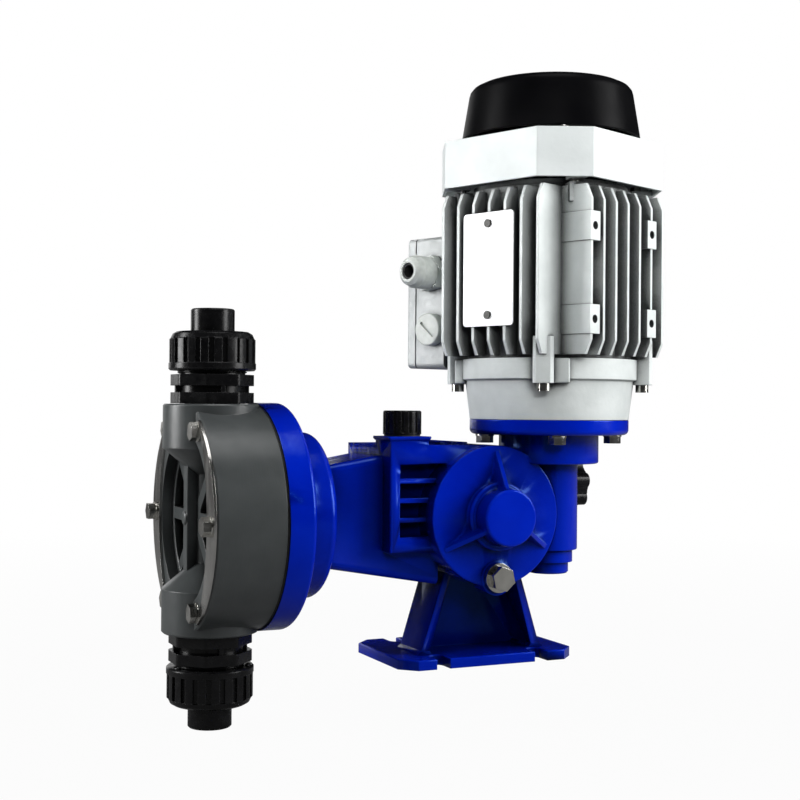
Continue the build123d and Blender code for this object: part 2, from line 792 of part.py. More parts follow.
def return_spring():
    """Coil spring that draws the plunger back against the eccentric."""
    length = yoke_front - spring_seat - spring_wire - 0.6
    path = Helix(length / spring_turns, length, spring_r)
    section = Plane(origin=path @ 0, z_dir=path % 0) * RegularPolygon(spring_wire / 2, 8)
    coil = sweep(section, path=path, is_frenet=True)
    return facing((spring_seat + spring_wire / 2 + 0.3, 0, axis_z), (1, 0, 0)) * coil


# The stroke adjuster

def stroke_spindle():
    """Screw with two flats that stops the yoke's arm."""
    tip = stop_face + seat_gap
    body = rod_x(spindle_r, tip, knob_near + 2, 0, knob_z)
    for side in (-1, 1):
        low, high = sorted((side * spindle_flat, side * (spindle_r + 1)))
        body -= block(tip + 2, knob_near - 7, low, high, knob_z - 9, knob_z + 9)
    return body


def adjuster_bush():
    """Bush in the casting that keeps the spindle from turning."""
    x0 = knob_near - 14
    body = rod_x(adjuster_bush_r, x0, knob_near - 3, 0, knob_z)
    body += rod_x(adjuster_bush_r + 3, knob_near - 3, knob_near - 0.5, 0, knob_z)
    slot = rod_x(spindle_r + run, x0 - 1, x0 + 6, 0, knob_z)
    slot &= block(x0 - 1, x0 + 6, -spindle_flat - run, spindle_flat + run, knob_z - 9, knob_z + 9)
    body -= slot
    return body - rod_x(spindle_r + run, x0 + 5, knob_near + 1, 0, knob_z)


def stroke_knob():
    """Lobed hand knob, with the nut thread of the spindle in it."""
    x1 = knob_near + knob_length
    body = rod_x(knob_r * 0.84, knob_near, x1, 0, knob_z)
    lobe_r = knob_r * 0.3
    first = 180 - 15
    for i in range(knob_lobes):
        y, z = polar(knob_r - lobe_r, i * 360 / knob_lobes + first)
        body += rod_x(lobe_r, knob_near, x1, y, knob_z + z)
    for i in range(knob_lobes):
        y, z = polar(knob_r + lobe_r * 0.4, (i + 0.5) * 360 / knob_lobes + first)
        body -= rod_x(lobe_r, knob_near - 1, x1 + 1, y, knob_z + z)
    body -= rod_x(knob_r * 0.45, x1 - 1.5, x1 + 1, 0, knob_z)
    return body - rod_x(spindle_r + run, knob_near - 1, knob_near + 2 + stroke + 2, 0, knob_z)


# The head

def boss_profile():
    """Outline of the ports' upright boss, upper half."""
    straight = port_boss_end - port_boss_straight
    return [(0, 0), (flow_rib_r, 0), (flow_rib_r, straight - port_cone), (port_boss_r, straight),
            (port_boss_r, port_boss_end - 1), (port_boss_r - 1, port_boss_end), (0, port_boss_end)]


def pump_head():
    """Round plastic head: ring, spoked recess and two port bosses."""
    front = head_front
    floor = front + recess_depth
    deep = floor + window_depth
    body = turned([(0, deep), (recess_r, deep), (recess_r, front), (head_r - 1, front), (head_r, front + 1),
                   (head_r, head_back), (0, head_back)], along_x)
    spokes = rod_x(12, floor, deep + 1)
    for i in range(4):
        bar = block(floor, deep + 1, -recess_r - 1, recess_r + 1, -spoke_width / 2, spoke_width / 2)
        spokes += Pos(0, 0, axis_z) * Rot(i * 45, 0, 0) * bar
    body += spokes & rod_x(recess_r + 1, front, deep + 1)
    outline = boss_profile()
    for turn in (0, 180):
        body += turned(outline, Location((port_x, 0, axis_z), (turn, 0, 0)))
    keep = block(head_front - 40, head_back, -80, 80, axis_z - 80, axis_z + 80)
    body &= keep
    body -= turned([(0, head_back + 1), (dish_r, head_back + 1), (dish_r, head_back),
                    (disc_r, head_back - 4), (0, head_back - 4)], along_x)
    for side in (-1, 1):
        ends = sorted((side * (port_boss_end + 1), side * (port_boss_end - socket_depth)))
        body -= rod_z(socket_r, axis_z + ends[0], axis_z + ends[1], port_x)
        ends = sorted((side * (port_boss_end - socket_depth + 1), side * 20))
        body -= rod_z(flow_r, axis_z + ends[0], axis_z + ends[1], port_x)
        body -= rod_x(flow_r, port_x, head_back, 0, axis_z + side * 20)
    for a in bolt_angles:
        y, z = polar(head_bolt_circle, a)
        body -= rod_x(bolt_r + screw_gap, head_front - 40, head_back + 1, y, axis_z + z)
        body -= rod_x(7.5, head_front - 40, head_front, y, axis_z + z)
    return body


def head_plate(side):
    """Stainless crescent on one side of the head's front ring, 1 far and -1 near."""
    outer = head_r - 0.6
    tip_y, tip_z = polar(outer, crescent_tip)
    # circle through both tips and the widest point
    centre = (crescent_inner ** 2 - tip_y ** 2 - tip_z ** 2) / (2 * (crescent_inner - tip_y))
    hollow = crescent_inner - centre
    x0, x1 = head_front - crescent_thick, head_front
    plate = rod_x(outer, x0, x1) - rod_x(hollow, x0 - 1, x1 + 1, centre * side)
    plate &= block(x0, x1, min(0, side * 80), max(0, side * 80), axis_z - 80, axis_z + 80)
    return plate - rod_x(bolt_r + screw_gap, x0 - 1, x1 + 1, side * head_bolt_circle)


def bolt_seat(angle):
    """Plane that a head bolt's washer lies on: the level ones stand on the crescents."""
    return head_front - crescent_thick if angle % 180 == 0 else head_front


def head_washers():
    """Plain washers under the head bolts."""
    pieces = []
    for a in bolt_angles:
        y, z = polar(head_bolt_circle, a)
        x = bolt_seat(a)
        ring = rod_x(6.2, x - 1.2, x, y, axis_z + z)
        pieces.append(ring - rod_x(bolt_r + 0.2, x - 2, x + 1, y, axis_z + z))
    return joined(pieces)


def hex_bolts():
    """Hexagon bolts that hold the head to the ring."""
    pieces = []
    for i, a in enumerate(bolt_angles):
        y, z = polar(head_bolt_circle, a)
        x = bolt_seat(a) - 1.2
        shank = rod_x(bolt_r, x, ring_back - 4, y, axis_z + z)
        place = facing((x, y, axis_z + z), (-1, 0, 0), (0, 1, 0))
        pieces.append(shank + hexagon(10, 4.5, place, 11 * i))
    return joined(pieces)


# Valves and unions, built upwards from the pump axis and turned over for suction

def port_place(side):
    """Place of a port's parts: side 1 is the discharge above, -1 the suction below."""
    return Location((port_x, 0, axis_z), (0 if side == 1 else 180, 0, 0))


def cartridge_bottom(side):
    """Height, outwards from the axis, where the cartridge's open end is."""
    return port_boss_end - socket_depth + 2 if side == 1 else valve_end


def valve_body(side):
    """Threaded body with a two-part octagonal collar."""
    low = port_boss_end + 0.2
    spigot = port_boss_end - socket_depth + 2
    mid = low + collar_thick
    top = mid + collar_groove + collar_thick
    body = turned([(0, spigot), (socket_r - slip, spigot), (socket_r - slip, low - 0.1),
                   (groove_r, low - 0.1), (groove_r, valve_end - 1), (groove_r - 1, valve_end),
                   (0, valve_end)])
    octagon = RegularPolygon(collar_r, 8, major_radius=False, rotation=22.5)
    octagon = fillet(octagon.vertices(), 4)
    for z in (low, mid + collar_groove):
        body += Pos(0, 0, z) * extrude(octagon, amount=collar_thick)
    for i in range(4):
        half = collar_rib / 2
        rib = block(groove_r - 1, collar_r - 0.6, -half, half, mid - 1, top - collar_thick + 1)
        body += Rot(0, 0, i * 90) * rib
    wide = cage_height + seat_height
    if side == 1:
        body -= rod_z(chamber_r, spigot - 1, spigot + wide)
    else:
        body -= rod_z(chamber_r, valve_end - wide, valve_end + 1)
    body -= rod_z(valve_bore_r, spigot - 1, valve_end + 1)
    body -= rod_z(17, valve_end - 2.1, valve_end + 1) - rod_z(13, valve_end - 3, valve_end + 1)
    return port_place(side) * body


def seal_ring(side):
    """Ring seal in the groove at the end of the valve body."""
    ring = turned([(13.2, valve_end - 2.0), (16.8, valve_end - 2.0), (16.8, valve_end - 0.1),
                   (13.2, valve_end - 0.1)])
    return port_place(side) * ring


def socket_seal(side):
    """Flat ring at the bottom of the head's socket."""
    z = port_boss_end - socket_depth
    return port_place(side) * (rod_z(socket_r - 0.2, z, z + 2) - rod_z(flow_r, z - 1, z + 3))


def seat_bottom(side):
    """Absolute height of the underside of a valve's seat."""
    return axis_z + side * cartridge_bottom(side)


def valve_seat(side):
    """Ring that the ball closes, with a bevelled mouth."""
    z = seat_bottom(side)
    edge = 1.2
    return turned([(seat_bore_r, z), (chamber_r - slip, z), (chamber_r - slip, z + seat_height),
                   (seat_bore_r + edge, z + seat_height), (seat_bore_r, z + seat_height - edge)],
                  Location((port_x, 0, 0)))


def ball_centre(side):
    """Height of the ball when it lies in the bevel of its seat."""
    edge = 1.2
    # the bevel slopes at 45 degrees through (seat_bore_r, top - edge)
    corner = seat_bottom(side) + seat_height - edge
    return corner - seat_bore_r + (ball_r + 0.1) * sqrt(2)


def valve_ball(side):
    """Ball of one valve."""
    return Pos(port_x, 0, ball_centre(side)) * Sphere(ball_r)


def valve_cage(side):
    """Guide with four fins and a crossed stop above the ball."""
    z0 = seat_bottom(side) + seat_height
    z1 = z0 + cage_height - 0.1
    wall = 1.6
    body = rod_z(chamber_r - slip, z0, z1, port_x) - rod_z(chamber_r - wall, z0 - 1, z1 + 1, port_x)
    stop = ball_centre(side) + ball_r + ball_lift + seat_gap
    for turn in (0, 90):
        bar = block(-chamber_r + 1, chamber_r - 1, -1.2, 1.2, z0, z1) - rod_z(ball_r + 0.35, z0 - 1, stop)
        body += Pos(port_x, 0, 0) * Rot(0, 0, turn) * bar
    return body


def tailpiece(side):
    """Union end with the socket that the pipe is glued into."""
    z = valve_end
    body = turned([(tail_bore_r, z), (tail_flange_r, z), (tail_flange_r, z + tail_flange_thick),
                   (nozzle_r, z + tail_flange_thick), (nozzle_r, nozzle_end - 0.8),
                   (nozzle_r - 0.8, nozzle_end), (pipe_r, nozzle_end), (pipe_r, nozzle_end - pipe_depth),
                   (tail_bore_r, nozzle_end - pipe_depth)])
    return port_place(side) * body


def union_nut(side):
    """Fluted hand nut that draws the tailpiece on to the valve."""
    shoulder = valve_end + tail_flange_thick + seat_gap
    thread = groove_r + 0.3
    low = nut_end - nut_dome
    bow = nut_dome * 0.29
    body = turned([(thread, nut_start), (nut_r - 1, nut_start), (nut_r, nut_start + 1),
                   (nut_r, nut_start + nut_band), (nut_r - 0.4, nut_start + nut_band + 0.4),
                   (nut_r - 0.4, low), (nut_r - 1, low + 0.4), (nut_r - 1 - bow, nut_end - bow),
                   (nut_r - nut_dome, nut_end), (nozzle_r + 0.4, nut_end), (nozzle_r + 0.4, shoulder),
                   (thread, shoulder)])
    for i in range(nut_flutes):
        cut = block(nut_r - 1.8, nut_r + 1, -1.6, 1.6, nut_start + nut_band + 0.4, low + 0.4)
        body -= Rot(0, 0, i * 360 / nut_flutes) * cut
    return port_place(side) * body


# The motor

def end_shield():
    """Drive-end shield: cone, square rim with lugs, spigot and bearing seat."""
    rim = shield_top - shield_rim
    outer, bore, width = motor_bearing
    z = flange_top
    body = turned([(bore + 1.5, z - spigot_height), (spigot_r, z - spigot_height), (spigot_r, z),
                   (flange_r, z), (shield_cone_r, rim - 1), (shield_cone_r + shield_lip, rim),
                   (shield_cone_r + shield_lip, shield_top), (frame_bore, shield_top), (frame_bore, rim),
                   (outer + 6, z + 8), (outer + 6, z + 8 + width + 2), (outer + slip, z + 8 + width + 2),
                   (outer + slip, z + 8), (bore + 1.5, z + 8)])
    for i in range(4):
        body += lug(shield_lug_turn + i * 90, rim - 3, shield_top)
    for i in range(4):
        x, y = polar(lug_r, shield_lug_turn + i * 90)
        body -= rod_z(2.5 + screw_gap, rim - 4, shield_top + 1, x, y)
        x, y = polar(bolt_circle, 45 + i * 90)
        body -= rod_z(bolt_r + slip, z - 1, z + 12, x, y)
    return motor_place * body


def lug(turn, z0, z1, room=0.0):
    """Square lug on the motor's corner, with its root in the wall, or the room it needs."""
    half = lug_size / 2 + room
    body = block(frame_r - 4, lug_r + half, -half, half, z0, z1)
    body = chamfer(body.edges().filter_by(Axis.Z).group_by(Axis.X)[-1], 2)
    return Rot(0, 0, turn) * body


def fin(offset):
    """One cooling fin on the +X face, with both ends sloped."""
    z0 = shield_top + fin_margin
    z1 = frame_top - fin_margin
    inner = sqrt(frame_r ** 2 - offset ** 2) - 2
    slope = 9.0
    outline = make_face(Polyline(
        (inner, 0, z0), (fin_half - 4, 0, z0), (fin_half, 0, z0 + slope), (fin_half, 0, z1 - slope),
        (fin_half - 4, 0, z1), (inner, 0, z1), close=True))
    blade = extrude(outline, amount=fin_root / 2, both=True)
    root, tip = fin_root / 2, fin_tip / 2
    taper = prism_z([(inner, -root), (fin_half, -tip), (fin_half, tip), (inner, root)], z0, z1)
    return Pos(0, offset, 0) * (blade & taper)


def motor_frame():
    """Finned barrel of the motor."""
    body = rod_z(frame_r, shield_top, frame_top)
    offsets = [(i - (fin_count - 1) / 2) * fin_pitch for i in range(fin_count)]
    fins = []
    for face in (0, 180, 270):
        for offset in offsets:
            fins.append(Rot(0, 0, face) * fin(offset))
    body += fins
    body += block(-box_half + 6, box_half - 6, 20, box_inner, shield_top, box_top - 4)
    for i in range(4):
        body += lug(shield_lug_turn + i * 90, shield_top, shield_top + lug_height)
        body += lug_small(cowl_lug_turn + i * 90)
    for x, z in foot_pads():
        half = pad_width / 2
        body += block(x - half, x + half, -fin_half - 0.4, -40, z - pad_height / 2, z + pad_height / 2)
    body -= rod_z(frame_bore + slip, shield_top - 1, frame_top + 1)
    for i in range(4):
        x, y = polar(lug_r, shield_lug_turn + i * 90)
        body -= rod_z(2.5 + slip, shield_top - 1, shield_top + 11, x, y)
        x, y = polar(lug_r - 2, cowl_lug_turn + i * 90)
        body -= rod_z(2 + slip, frame_top - 10, frame_top + 1, x, y)
    for x, z in foot_pads():
        body -= rod_y(2.6, -fin_half - 1, -fin_half + 8, x, z)
    body -= rod_y(12, 30, box_inner + 1, 0, (box_bottom + box_top) / 2)
    return motor_place * body


def lug_small(turn):
    """Small lug at the top of the frame for a cowl screw."""
    body = block(frame_r - 4, lug_r + 3, -5, 5, frame_top - 12, frame_top)
    return Rot(0, 0, turn) * body


def foot_pads():
    """Centres of the four pads for screw-on feet, as (x, z) on the -Y face."""
    half = pad_spacing / 2
    low = shield_top + pad_rise
    return [(x, z) for x in (pad_shift - half, pad_shift + half) for z in (low, low + pad_pitch)]


def stator():
    """Stack of the motor's fixed plates."""
    z = stack_bottom
    stack = rod_z(frame_bore, z, z + stack_height)
    return motor_place * (stack - rod_z(rotor_r, z - 1, z + stack_height + 1))


def windings():
    """Coil ends above and below the stack."""
    pieces = []
    for z in (stack_bottom - 12, stack_bottom + stack_height):
        pieces.append(motor_place * turned([(rotor_r + 3, z), (frame_bore - 4, z), (frame_bore - 4, z + 12),
                                            (rotor_r + 3, z + 12)]))
    return joined(pieces)


def rotor():
    """Rotor pressed on the shaft."""
    z = stack_bottom
    r = rotor_r - air_gap
    return motor_place * (rod_z(r, z, z + stack_height) - rod_z(10 + slip, z - 1, z + stack_height + 1))


def motor_shaft():
    """Shaft from the worm to the fan."""
    top_bearing = frame_top - 8
    z = flange_top + 8
    body = turned([(0, shaft_bottom), (shaft_r, shaft_bottom), (shaft_r, flange_top - 2),
                   (motor_bearing[1], flange_top - 2), (motor_bearing[1], z + motor_bearing[2] + 2),
                   (10, z + motor_bearing[2] + 2), (10, top_bearing - 3), (motor_bearing[1], top_bearing - 3),
                   (motor_bearing[1], top_bearing + 12), (6, top_bearing + 12), (6, cowl_top - 6),
                   (0, cowl_top - 6)])
    return motor_place * body


def back_shield():
    """Fan-end shield with the upper bearing."""
    z = frame_top
    outer = motor_bearing[0]
    body = turned([(motor_bearing[1] + 1, z + 4), (frame_bore + 6, z + 4), (frame_bore + 6, z),
                   (frame_bore - 0.2, z), (frame_bore - 0.2, z - 3), (outer + 6, z - 3),
                   (outer + 6, z - 9), (outer + slip, z - 9), (outer + slip, z + 3 + 0.2),
                   (motor_bearing[1] + 1, z + 3 + 0.2)])
    return motor_place * body


def fan():
    """Radial fan on the shaft."""
    z = frame_top + 7
    body = turned([(6 + slip, z), (11, z), (11, z + 4), (46, z + 4), (46, z + 6), (11, z + 6), (11, z + 20),
                   (6 + slip, z + 20)])
    for i in range(8):
        blade = block(10, 48, -0.9, 0.9, z + 5, z + 19)
        body += Rot(0, 0, i * 45) * blade
    return motor_place * body


def octagon(half, cut):
    """Corner points of a square with its corners cut off."""
    a = half - cut
    return [(half, -a), (half, a), (a, half), (-a, half), (-half, a), (-half, -a), (-a, -half), (a, -half)]


def fan_cowl():
    """Eight-sided cowl, open below, with the air inlet in its top."""
    w = cowl_wall
    inner_cut = cowl_chamfer - w * (2 - sqrt(2))
    body = prism_z(octagon(cowl_half, cowl_chamfer), cowl_bottom, cowl_top)
    body -= prism_z(octagon(cowl_half - w, inner_cut), cowl_bottom - 1, cowl_top - w)
    grille = rod_z(46, cowl_top - w - 1, cowl_top + 1)
    for i in range(4):
        grille -= Rot(0, 0, i * 45) * block(-50, 50, -1.5, 1.5, cowl_top - w - 2, cowl_top + 2)
    for r in (12, 22, 32, 40):
        bridge = rod_z(r + 1.2, cowl_top - w - 2, cowl_top + 2)
        grille -= bridge - rod_z(r - 1.2, cowl_top - w - 3, cowl_top + 3)
    body -= grille
    for i in range(4):
        x, y = polar(lug_r - 2, cowl_lug_turn + i * 90)
        arm = Rot(0, 0, cowl_lug_turn + i * 90) * block(lug_r - 6, 2 * cowl_half, -5, 5, cowl_bottom,
                                                       cowl_bottom + 3)
        body += arm & prism_z(octagon(cowl_half, cowl_chamfer), 0, 2 * cowl_top)
        body -= rod_z(2 + screw_gap, cowl_bottom - 1, cowl_bottom + 4, x, y)
        x, y = polar(canopy_r - 6, 45 + i * 90)
        body -= rod_z(2 + slip, cowl_top - 5, cowl_top + 1, x, y)
    return motor_place * body


def canopy():
    """Domed rain cover over the air inlet, on four short feet."""
    z = canopy_bottom
    w = canopy_wall
    outer = Polyline((canopy_r, 0, z), (canopy_top_r + 1.5, 0, canopy_top - 15))
    crown = ThreePointArc((canopy_top_r + 1.5, 0, canopy_top - 15), (canopy_top_r - 5, 0, canopy_top - 5),
                          (canopy_top_r - 20, 0, canopy_top - 1))
    top = Polyline((canopy_top_r - 20, 0, canopy_top - 1), (0, 0, canopy_top), (0, 0, z), (canopy_r, 0, z))
    shell = revolve(make_face(outer + crown + top), Axis.Z, 360)
    inside = turned([(0, z - 1), (canopy_r - w, z - 1), (canopy_top_r - w, canopy_top - 15),
                     (canopy_top_r - 9, canopy_top - 6), (0, canopy_top - w)])
    body = shell - inside
    for i in range(4):
        x, y = polar(canopy_r - 6, 45 + i * 90)
        post = rod_z(4.5, cowl_top, z + canopy_height * 0.35, x, y)
        body += post & rod_z(canopy_r - 1, 0, 400)
        body -= rod_z(2 + slip, cowl_top - 1, cowl_top + 9, x, y)
    return motor_place * body


def terminal_box():
    """Open box on the motor's side for the mains terminals."""
    w = box_wall
    body = block(-box_half, box_half, box_inner, box_seam, box_bottom, box_top)
    body = fillet(body.edges().filter_by(Axis.Y), 3)
    body -= block(-box_half + w, box_half - w, box_inner + w, box_seam + 1, box_bottom + w, box_top - w)
    # room for the lug of the shield screw beside it
    body -= lug(shield_lug_turn - 90, box_bottom - 1, shield_top + lug_height + 0.5, 0.5)
    body -= lug(shield_lug_turn - 180, box_bottom - 1, shield_top + lug_height + 0.5, 0.5)
    body -= rod_z(shield_cone_r + shield_lip + seat_gap, box_bottom - 1, shield_top + seat_gap)
    for x, z in lid_points():
        body += rod_y(4.5, box_seam - 14, box_seam, x, z)
    for x, z in lid_points():
        body -= rod_y(2 + slip, box_seam - 12, box_seam + 1, x, z)
    for z in (gland_z, plug_z):
        body -= rod_x(gland_stem_r + slip, -box_half - 1, -box_half + w + 1, gland_y, z)
    body -= rod_y(12, box_inner - 1, box_inner + w + 1, 0, (box_bottom + box_top) / 2)
    return motor_place * body


def lid_points():
    """Centres of the four lid screws, as (x, z)."""
    inset = 7.0
    return [(sx * (box_half - inset), z) for sx in (-1, 1) for z in (box_bottom + inset, box_top - inset)]


def box_gasket():
    """Rubber seal between the terminal box and its lid."""
    y0, y1 = box_seam, box_seam + gasket_thick
    body = block(-box_half + 0.8, box_half - 0.8, y0, y1, box_bottom + 0.8, box_top - 0.8)
    body -= block(-box_half + 6, box_half - 6, y0 - 1, y1 + 1, box_bottom + 14, box_top - 14)
    for x, z in lid_points():
        body -= rod_y(2 + screw_gap, y0 - 1, y1 + 1, x, z)
    return motor_place * body


def box_lid():
    """Lid of the terminal box."""
    y0 = box_seam + gasket_thick
    w = box_wall
    body = block(-box_half, box_half, y0, box_outer, box_bottom, box_top)
    body = fillet(body.edges().filter_by(Axis.Y), 3)
    body = fillet(body.edges().group_by(Axis.Y)[-1], 1.5)
    body -= block(-box_half + 12, box_half - 12, y0 - 1, box_outer - w, box_bottom + 12, box_top - 12)
    for x, z in lid_points():
        body -= rod_y(2 + screw_gap, y0 - 1, box_outer + 1, x, z)
        body -= rod_y(4.2, box_outer - 3, box_outer + 1, x, z)
    return motor_place * body


def lid_screws():
    """Four pan-head screws in the lid."""
    pieces = []
    for x, z in lid_points():
        shank = rod_y(2, box_seam - 10, box_outer - 3, x, z)
        pieces.append(motor_place * (shank + rod_y(3.8, box_outer - 3, box_outer - 0.6, x, z)))
    return joined(pieces)


def gland_body():
    """Hexagon body of the cable gland."""
    x = -box_half
    body = rod_x(gland_stem_r, x - 1, x + box_wall, gland_y, gland_z)
    body += hexagon(22, 7, facing((x, gland_y, gland_z), (-1, 0, 0), (0, 1, 0)), 10)
    body += rod_x(8.6, x - 13, x - 6, gland_y, gland_z)
    return motor_place * (body - rod_x(cable_r + 1.4, x - 14, x + box_wall + 5, gland_y, gland_z))


def gland_nut():
    """Domed nut of the cable gland."""
    x = -box_half
    end = x - gland_length
    place = Location((0, gland_y, gland_z), (0, 90, 0))
    body = turned([(cable_r + 1.4, end), (gland_r - 3.2, end), (gland_r - 1, end + 2.2), (gland_r, end + 6),
                   (gland_r + 0.6, end + 7), (gland_r + 0.6, x - 7.2), (8.65, x - 7.2), (8.65, x - 13.2),
                   (cable_r + 1.4, x - 14.5)], place)
    return motor_place * body


def gland_sleeve():
    """Rubber sleeve that grips the cable."""
    x = -box_half
    end = x - gland_length + 1
    return motor_place * (rod_x(cable_r + 1.35, end, x - 1, gland_y, gland_z)
                          - rod_x(cable_r, end - 1, x, gland_y, gland_z))


def blanking_plug():
    """Slotted plug in the spare entry."""
    x = -box_half
    head = rod_x(plug_r, x - 6, x, gland_y, plug_z)
    head = fillet(head.edges().filter_by(GeomType.CIRCLE).sort_by(Axis.X)[0], 1)
    slot = Pos(x - 6, gland_y, plug_z) * Rot(40, 0, 0) * Box(3, 15, 2)
    return motor_place * (head - slot + rod_x(gland_stem_r, x - 1, x + box_wall, gland_y, plug_z))


def name_plate():
    """Blank plate over the fins."""
    x = -fin_half - 0.1
    body = block(x - plate_thick, x, -plate_width / 2, plate_width / 2, plate_z - plate_height / 2,
                 plate_z + plate_height / 2)
    body = fillet(body.edges().filter_by(Axis.X), 2.5)
    for z in rivet_heights():
        body -= rod_x(1.6 + slip, x - 2, x + 1, 0, z)
    return motor_place * body


def rivet_heights():
    """Heights of the plate's two rivets."""
    inset = 7.0
    return plate_z - plate_height / 2 + inset, plate_z + plate_height / 2 - inset


def plate_rivets():
    """Two rivets through the plate into the middle fin."""
    pieces = []
    for z in rivet_heights():
        face = -fin_half - 0.1 - plate_thick
        pieces.append(motor_place * (rod_x(1.6, face, -fin_half - 0.02, 0, z)
                                     + rod_x(2.6, face - 1, face, 0, z)))
    return joined(pieces)


def socket_screws(points, z0, z1, r, head_r, head_height):
    """Socket screws with their heads at z1, downwards if z1 is the lower end."""
    pieces = []
    for x, y in points:
        down = z1 < z0
        low, high = sorted((z0, z1))
        shank = rod_z(r, low, high, x, y)
        if down:
            head = rod_z(head_r, z1 - head_height, z1, x, y)
            socket = hexagon(r * 1.7, head_height * 0.6, Location((x, y, z1 - head_height)))
        else:
            head = rod_z(head_r, z1, z1 + head_height, x, y)
            socket = hexagon(r * 1.7, head_height * 0.6, Location((x, y, z1 + head_height * 0.4)))
        pieces.append(motor_place * (shank + head - socket))
    return joined(pieces)


def shield_screws():
    """Screws that hold the drive-end shield to the frame, driven from below."""
    points = [polar(lug_r, shield_lug_turn + i * 90) for i in range(4)]
    return socket_screws(points, shield_top + 10, shield_top - shield_rim - 3.0, 2.5, 4.2, 5)


def cowl_screws():
    """Screws that hold the cowl to the frame."""
    points = [polar(lug_r - 2, cowl_lug_turn + i * 90) for i in range(4)]
    return socket_screws(points, frame_top - 9, cowl_bottom + 3, 2, 3.5, 3)


def canopy_screws():
    """Screws up through the cowl's top into the canopy's feet."""
    points = [polar(canopy_r - 6, 45 + i * 90) for i in range(4)]
    return socket_screws(points, cowl_top + 8, cowl_top - cowl_wall, 2, 3.5, 3)


def flange_bolts():
    """Hexagon bolts with washers, up through the gearbox flange into the motor."""
    pieces = []
    for x, y in flange_bolt_points():
        z = flange_bottom
        bolt = rod_z(bolt_r, z - 1.3, flange_top + 10, x, y)
        bolt += hexagon(10, 4.5, facing((x, y, z - 1.3), (0, 0, -1)), 20)
        bolt += rod_z(6.2, z - 1.3, z, x, y)
        pieces.append(bolt)
    return joined(pieces)


upright = (0, 0, 1)
worm_axis = (motor_x, motor_y)
shaft_line = (0, 1, 0)
near_bearing_y = barrel_near - small_bearing[2] - 0.7
far_bearing_y = barrel_far - 2 - small_bearing[2] - seat_gap

nodes = {
    "gear_housing": gear_housing(),
    "far_cover": far_cover(),
    "cover_screws": cover_screws(),
    "worm_end_cap": worm_end_cap(),
    "oil_cap": oil_cap(),
    "drain_plug": drain_plug(),
    "plug_seals": joined([oil_cap_seal(), drain_washer()]),
    "worm_shaft": worm_shaft(),
    "worm_wheel": worm_wheel(),
    "eccentric_shaft": eccentric_shaft(),
    "cam_ring": cam_ring(),
    "gear_bearings": joined([
        bearing(small_bearing, facing((wheel_x, near_bearing_y, axis_z), shaft_line)),
        bearing(small_bearing, facing((wheel_x, far_bearing_y, axis_z), shaft_line)),
        bearing(worm_foot_bearing, facing((*worm_axis, worm_case_bottom + 0.8), upright)),
        bearing(worm_bearing, facing((*worm_axis, upper_bearing_bottom + 0.2), upright)),
    ]),
    "worm_seal": worm_seal(),
    "plunger": plunger(),
    "diaphragm_disc": diaphragm_disc(),
    "diaphragm": diaphragm(),
    "guide_bush": guide_bush(),
    "rod_seal": rod_seal(),
    "return_spring": return_spring(),
    "stroke_spindle": stroke_spindle(),
    "adjuster_bush": adjuster_bush(),
    "stroke_knob": stroke_knob(),
    "pump_head": pump_head(),
    "head_plates": joined([head_plate(-1), head_plate(1)]),
    "head_washers": head_washers(),
    "head_bolts": hex_bolts(),
    "end_shield": end_shield(),
    "motor_frame": motor_frame(),
    "stator": stator(),
    "windings": windings(),
    "rotor": rotor(),
    "motor_shaft": motor_shaft(),
    "motor_bearings": joined([
        motor_place * bearing(motor_bearing, facing((0, 0, flange_top + 8.2), upright)),
        motor_place * bearing(motor_bearing, facing((0, 0, frame_top - 8), upright)),
    ]),
    "back_shield": back_shield(),
    "fan": fan(),
    "fan_cowl": fan_cowl(),
    "canopy": canopy(),
    "terminal_box": terminal_box(),
    "box_gasket": box_gasket(),
    "box_lid": box_lid(),
    "lid_screws": lid_screws(),
    "gland_body": gland_body(),
    "gland_nut": gland_nut(),
    "gland_sleeve": gland_sleeve(),
    "blanking_plug": blanking_plug(),
    "name_plate": name_plate(),
    "plate_rivets": plate_rivets(),
    "shield_screws": shield_screws(),
    "cowl_screws": joined([cowl_screws(), canopy_screws()]),
    "flange_bolts": flange_bolts(),
}

for side, port in ((1, "discharge"), (-1, "suction")):
    nodes[port + "_valve_body"] = valve_body(side)
    nodes[port + "_ball"] = valve_ball(side)
    nodes[port + "_union_nut"] = union_nut(side)

nodes["valve_seats"] = joined([valve_seat(1), valve_seat(-1)])
nodes["valve_cages"] = joined([valve_cage(1), valve_cage(-1)])
nodes["valve_seals"] = joined([seal_ring(1), seal_ring(-1), socket_seal(1), socket_seal(-1)])
nodes["tailpieces"] = joined([tailpiece(1), tailpiece(-1)])

os.makedirs("parts", exist_ok=True)
for name, shape in nodes.items():
    export_step(shape, f"parts/{name}.step")
print(len(nodes), "sub-parts written")
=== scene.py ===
# %% [markdown]
# # A diaphragm metering pump
# The pump is a blue gearbox casting on a foot, with a grey round head at one side and an upright
# finned motor on top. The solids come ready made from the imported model. This lesson gives them their
# light, their camera and their finishes, and adds the small things that a solid model leaves out.

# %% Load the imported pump
import json
from math import cos, pi, radians, sin

import bmesh
import bpy
from mathutils import Matrix, Vector


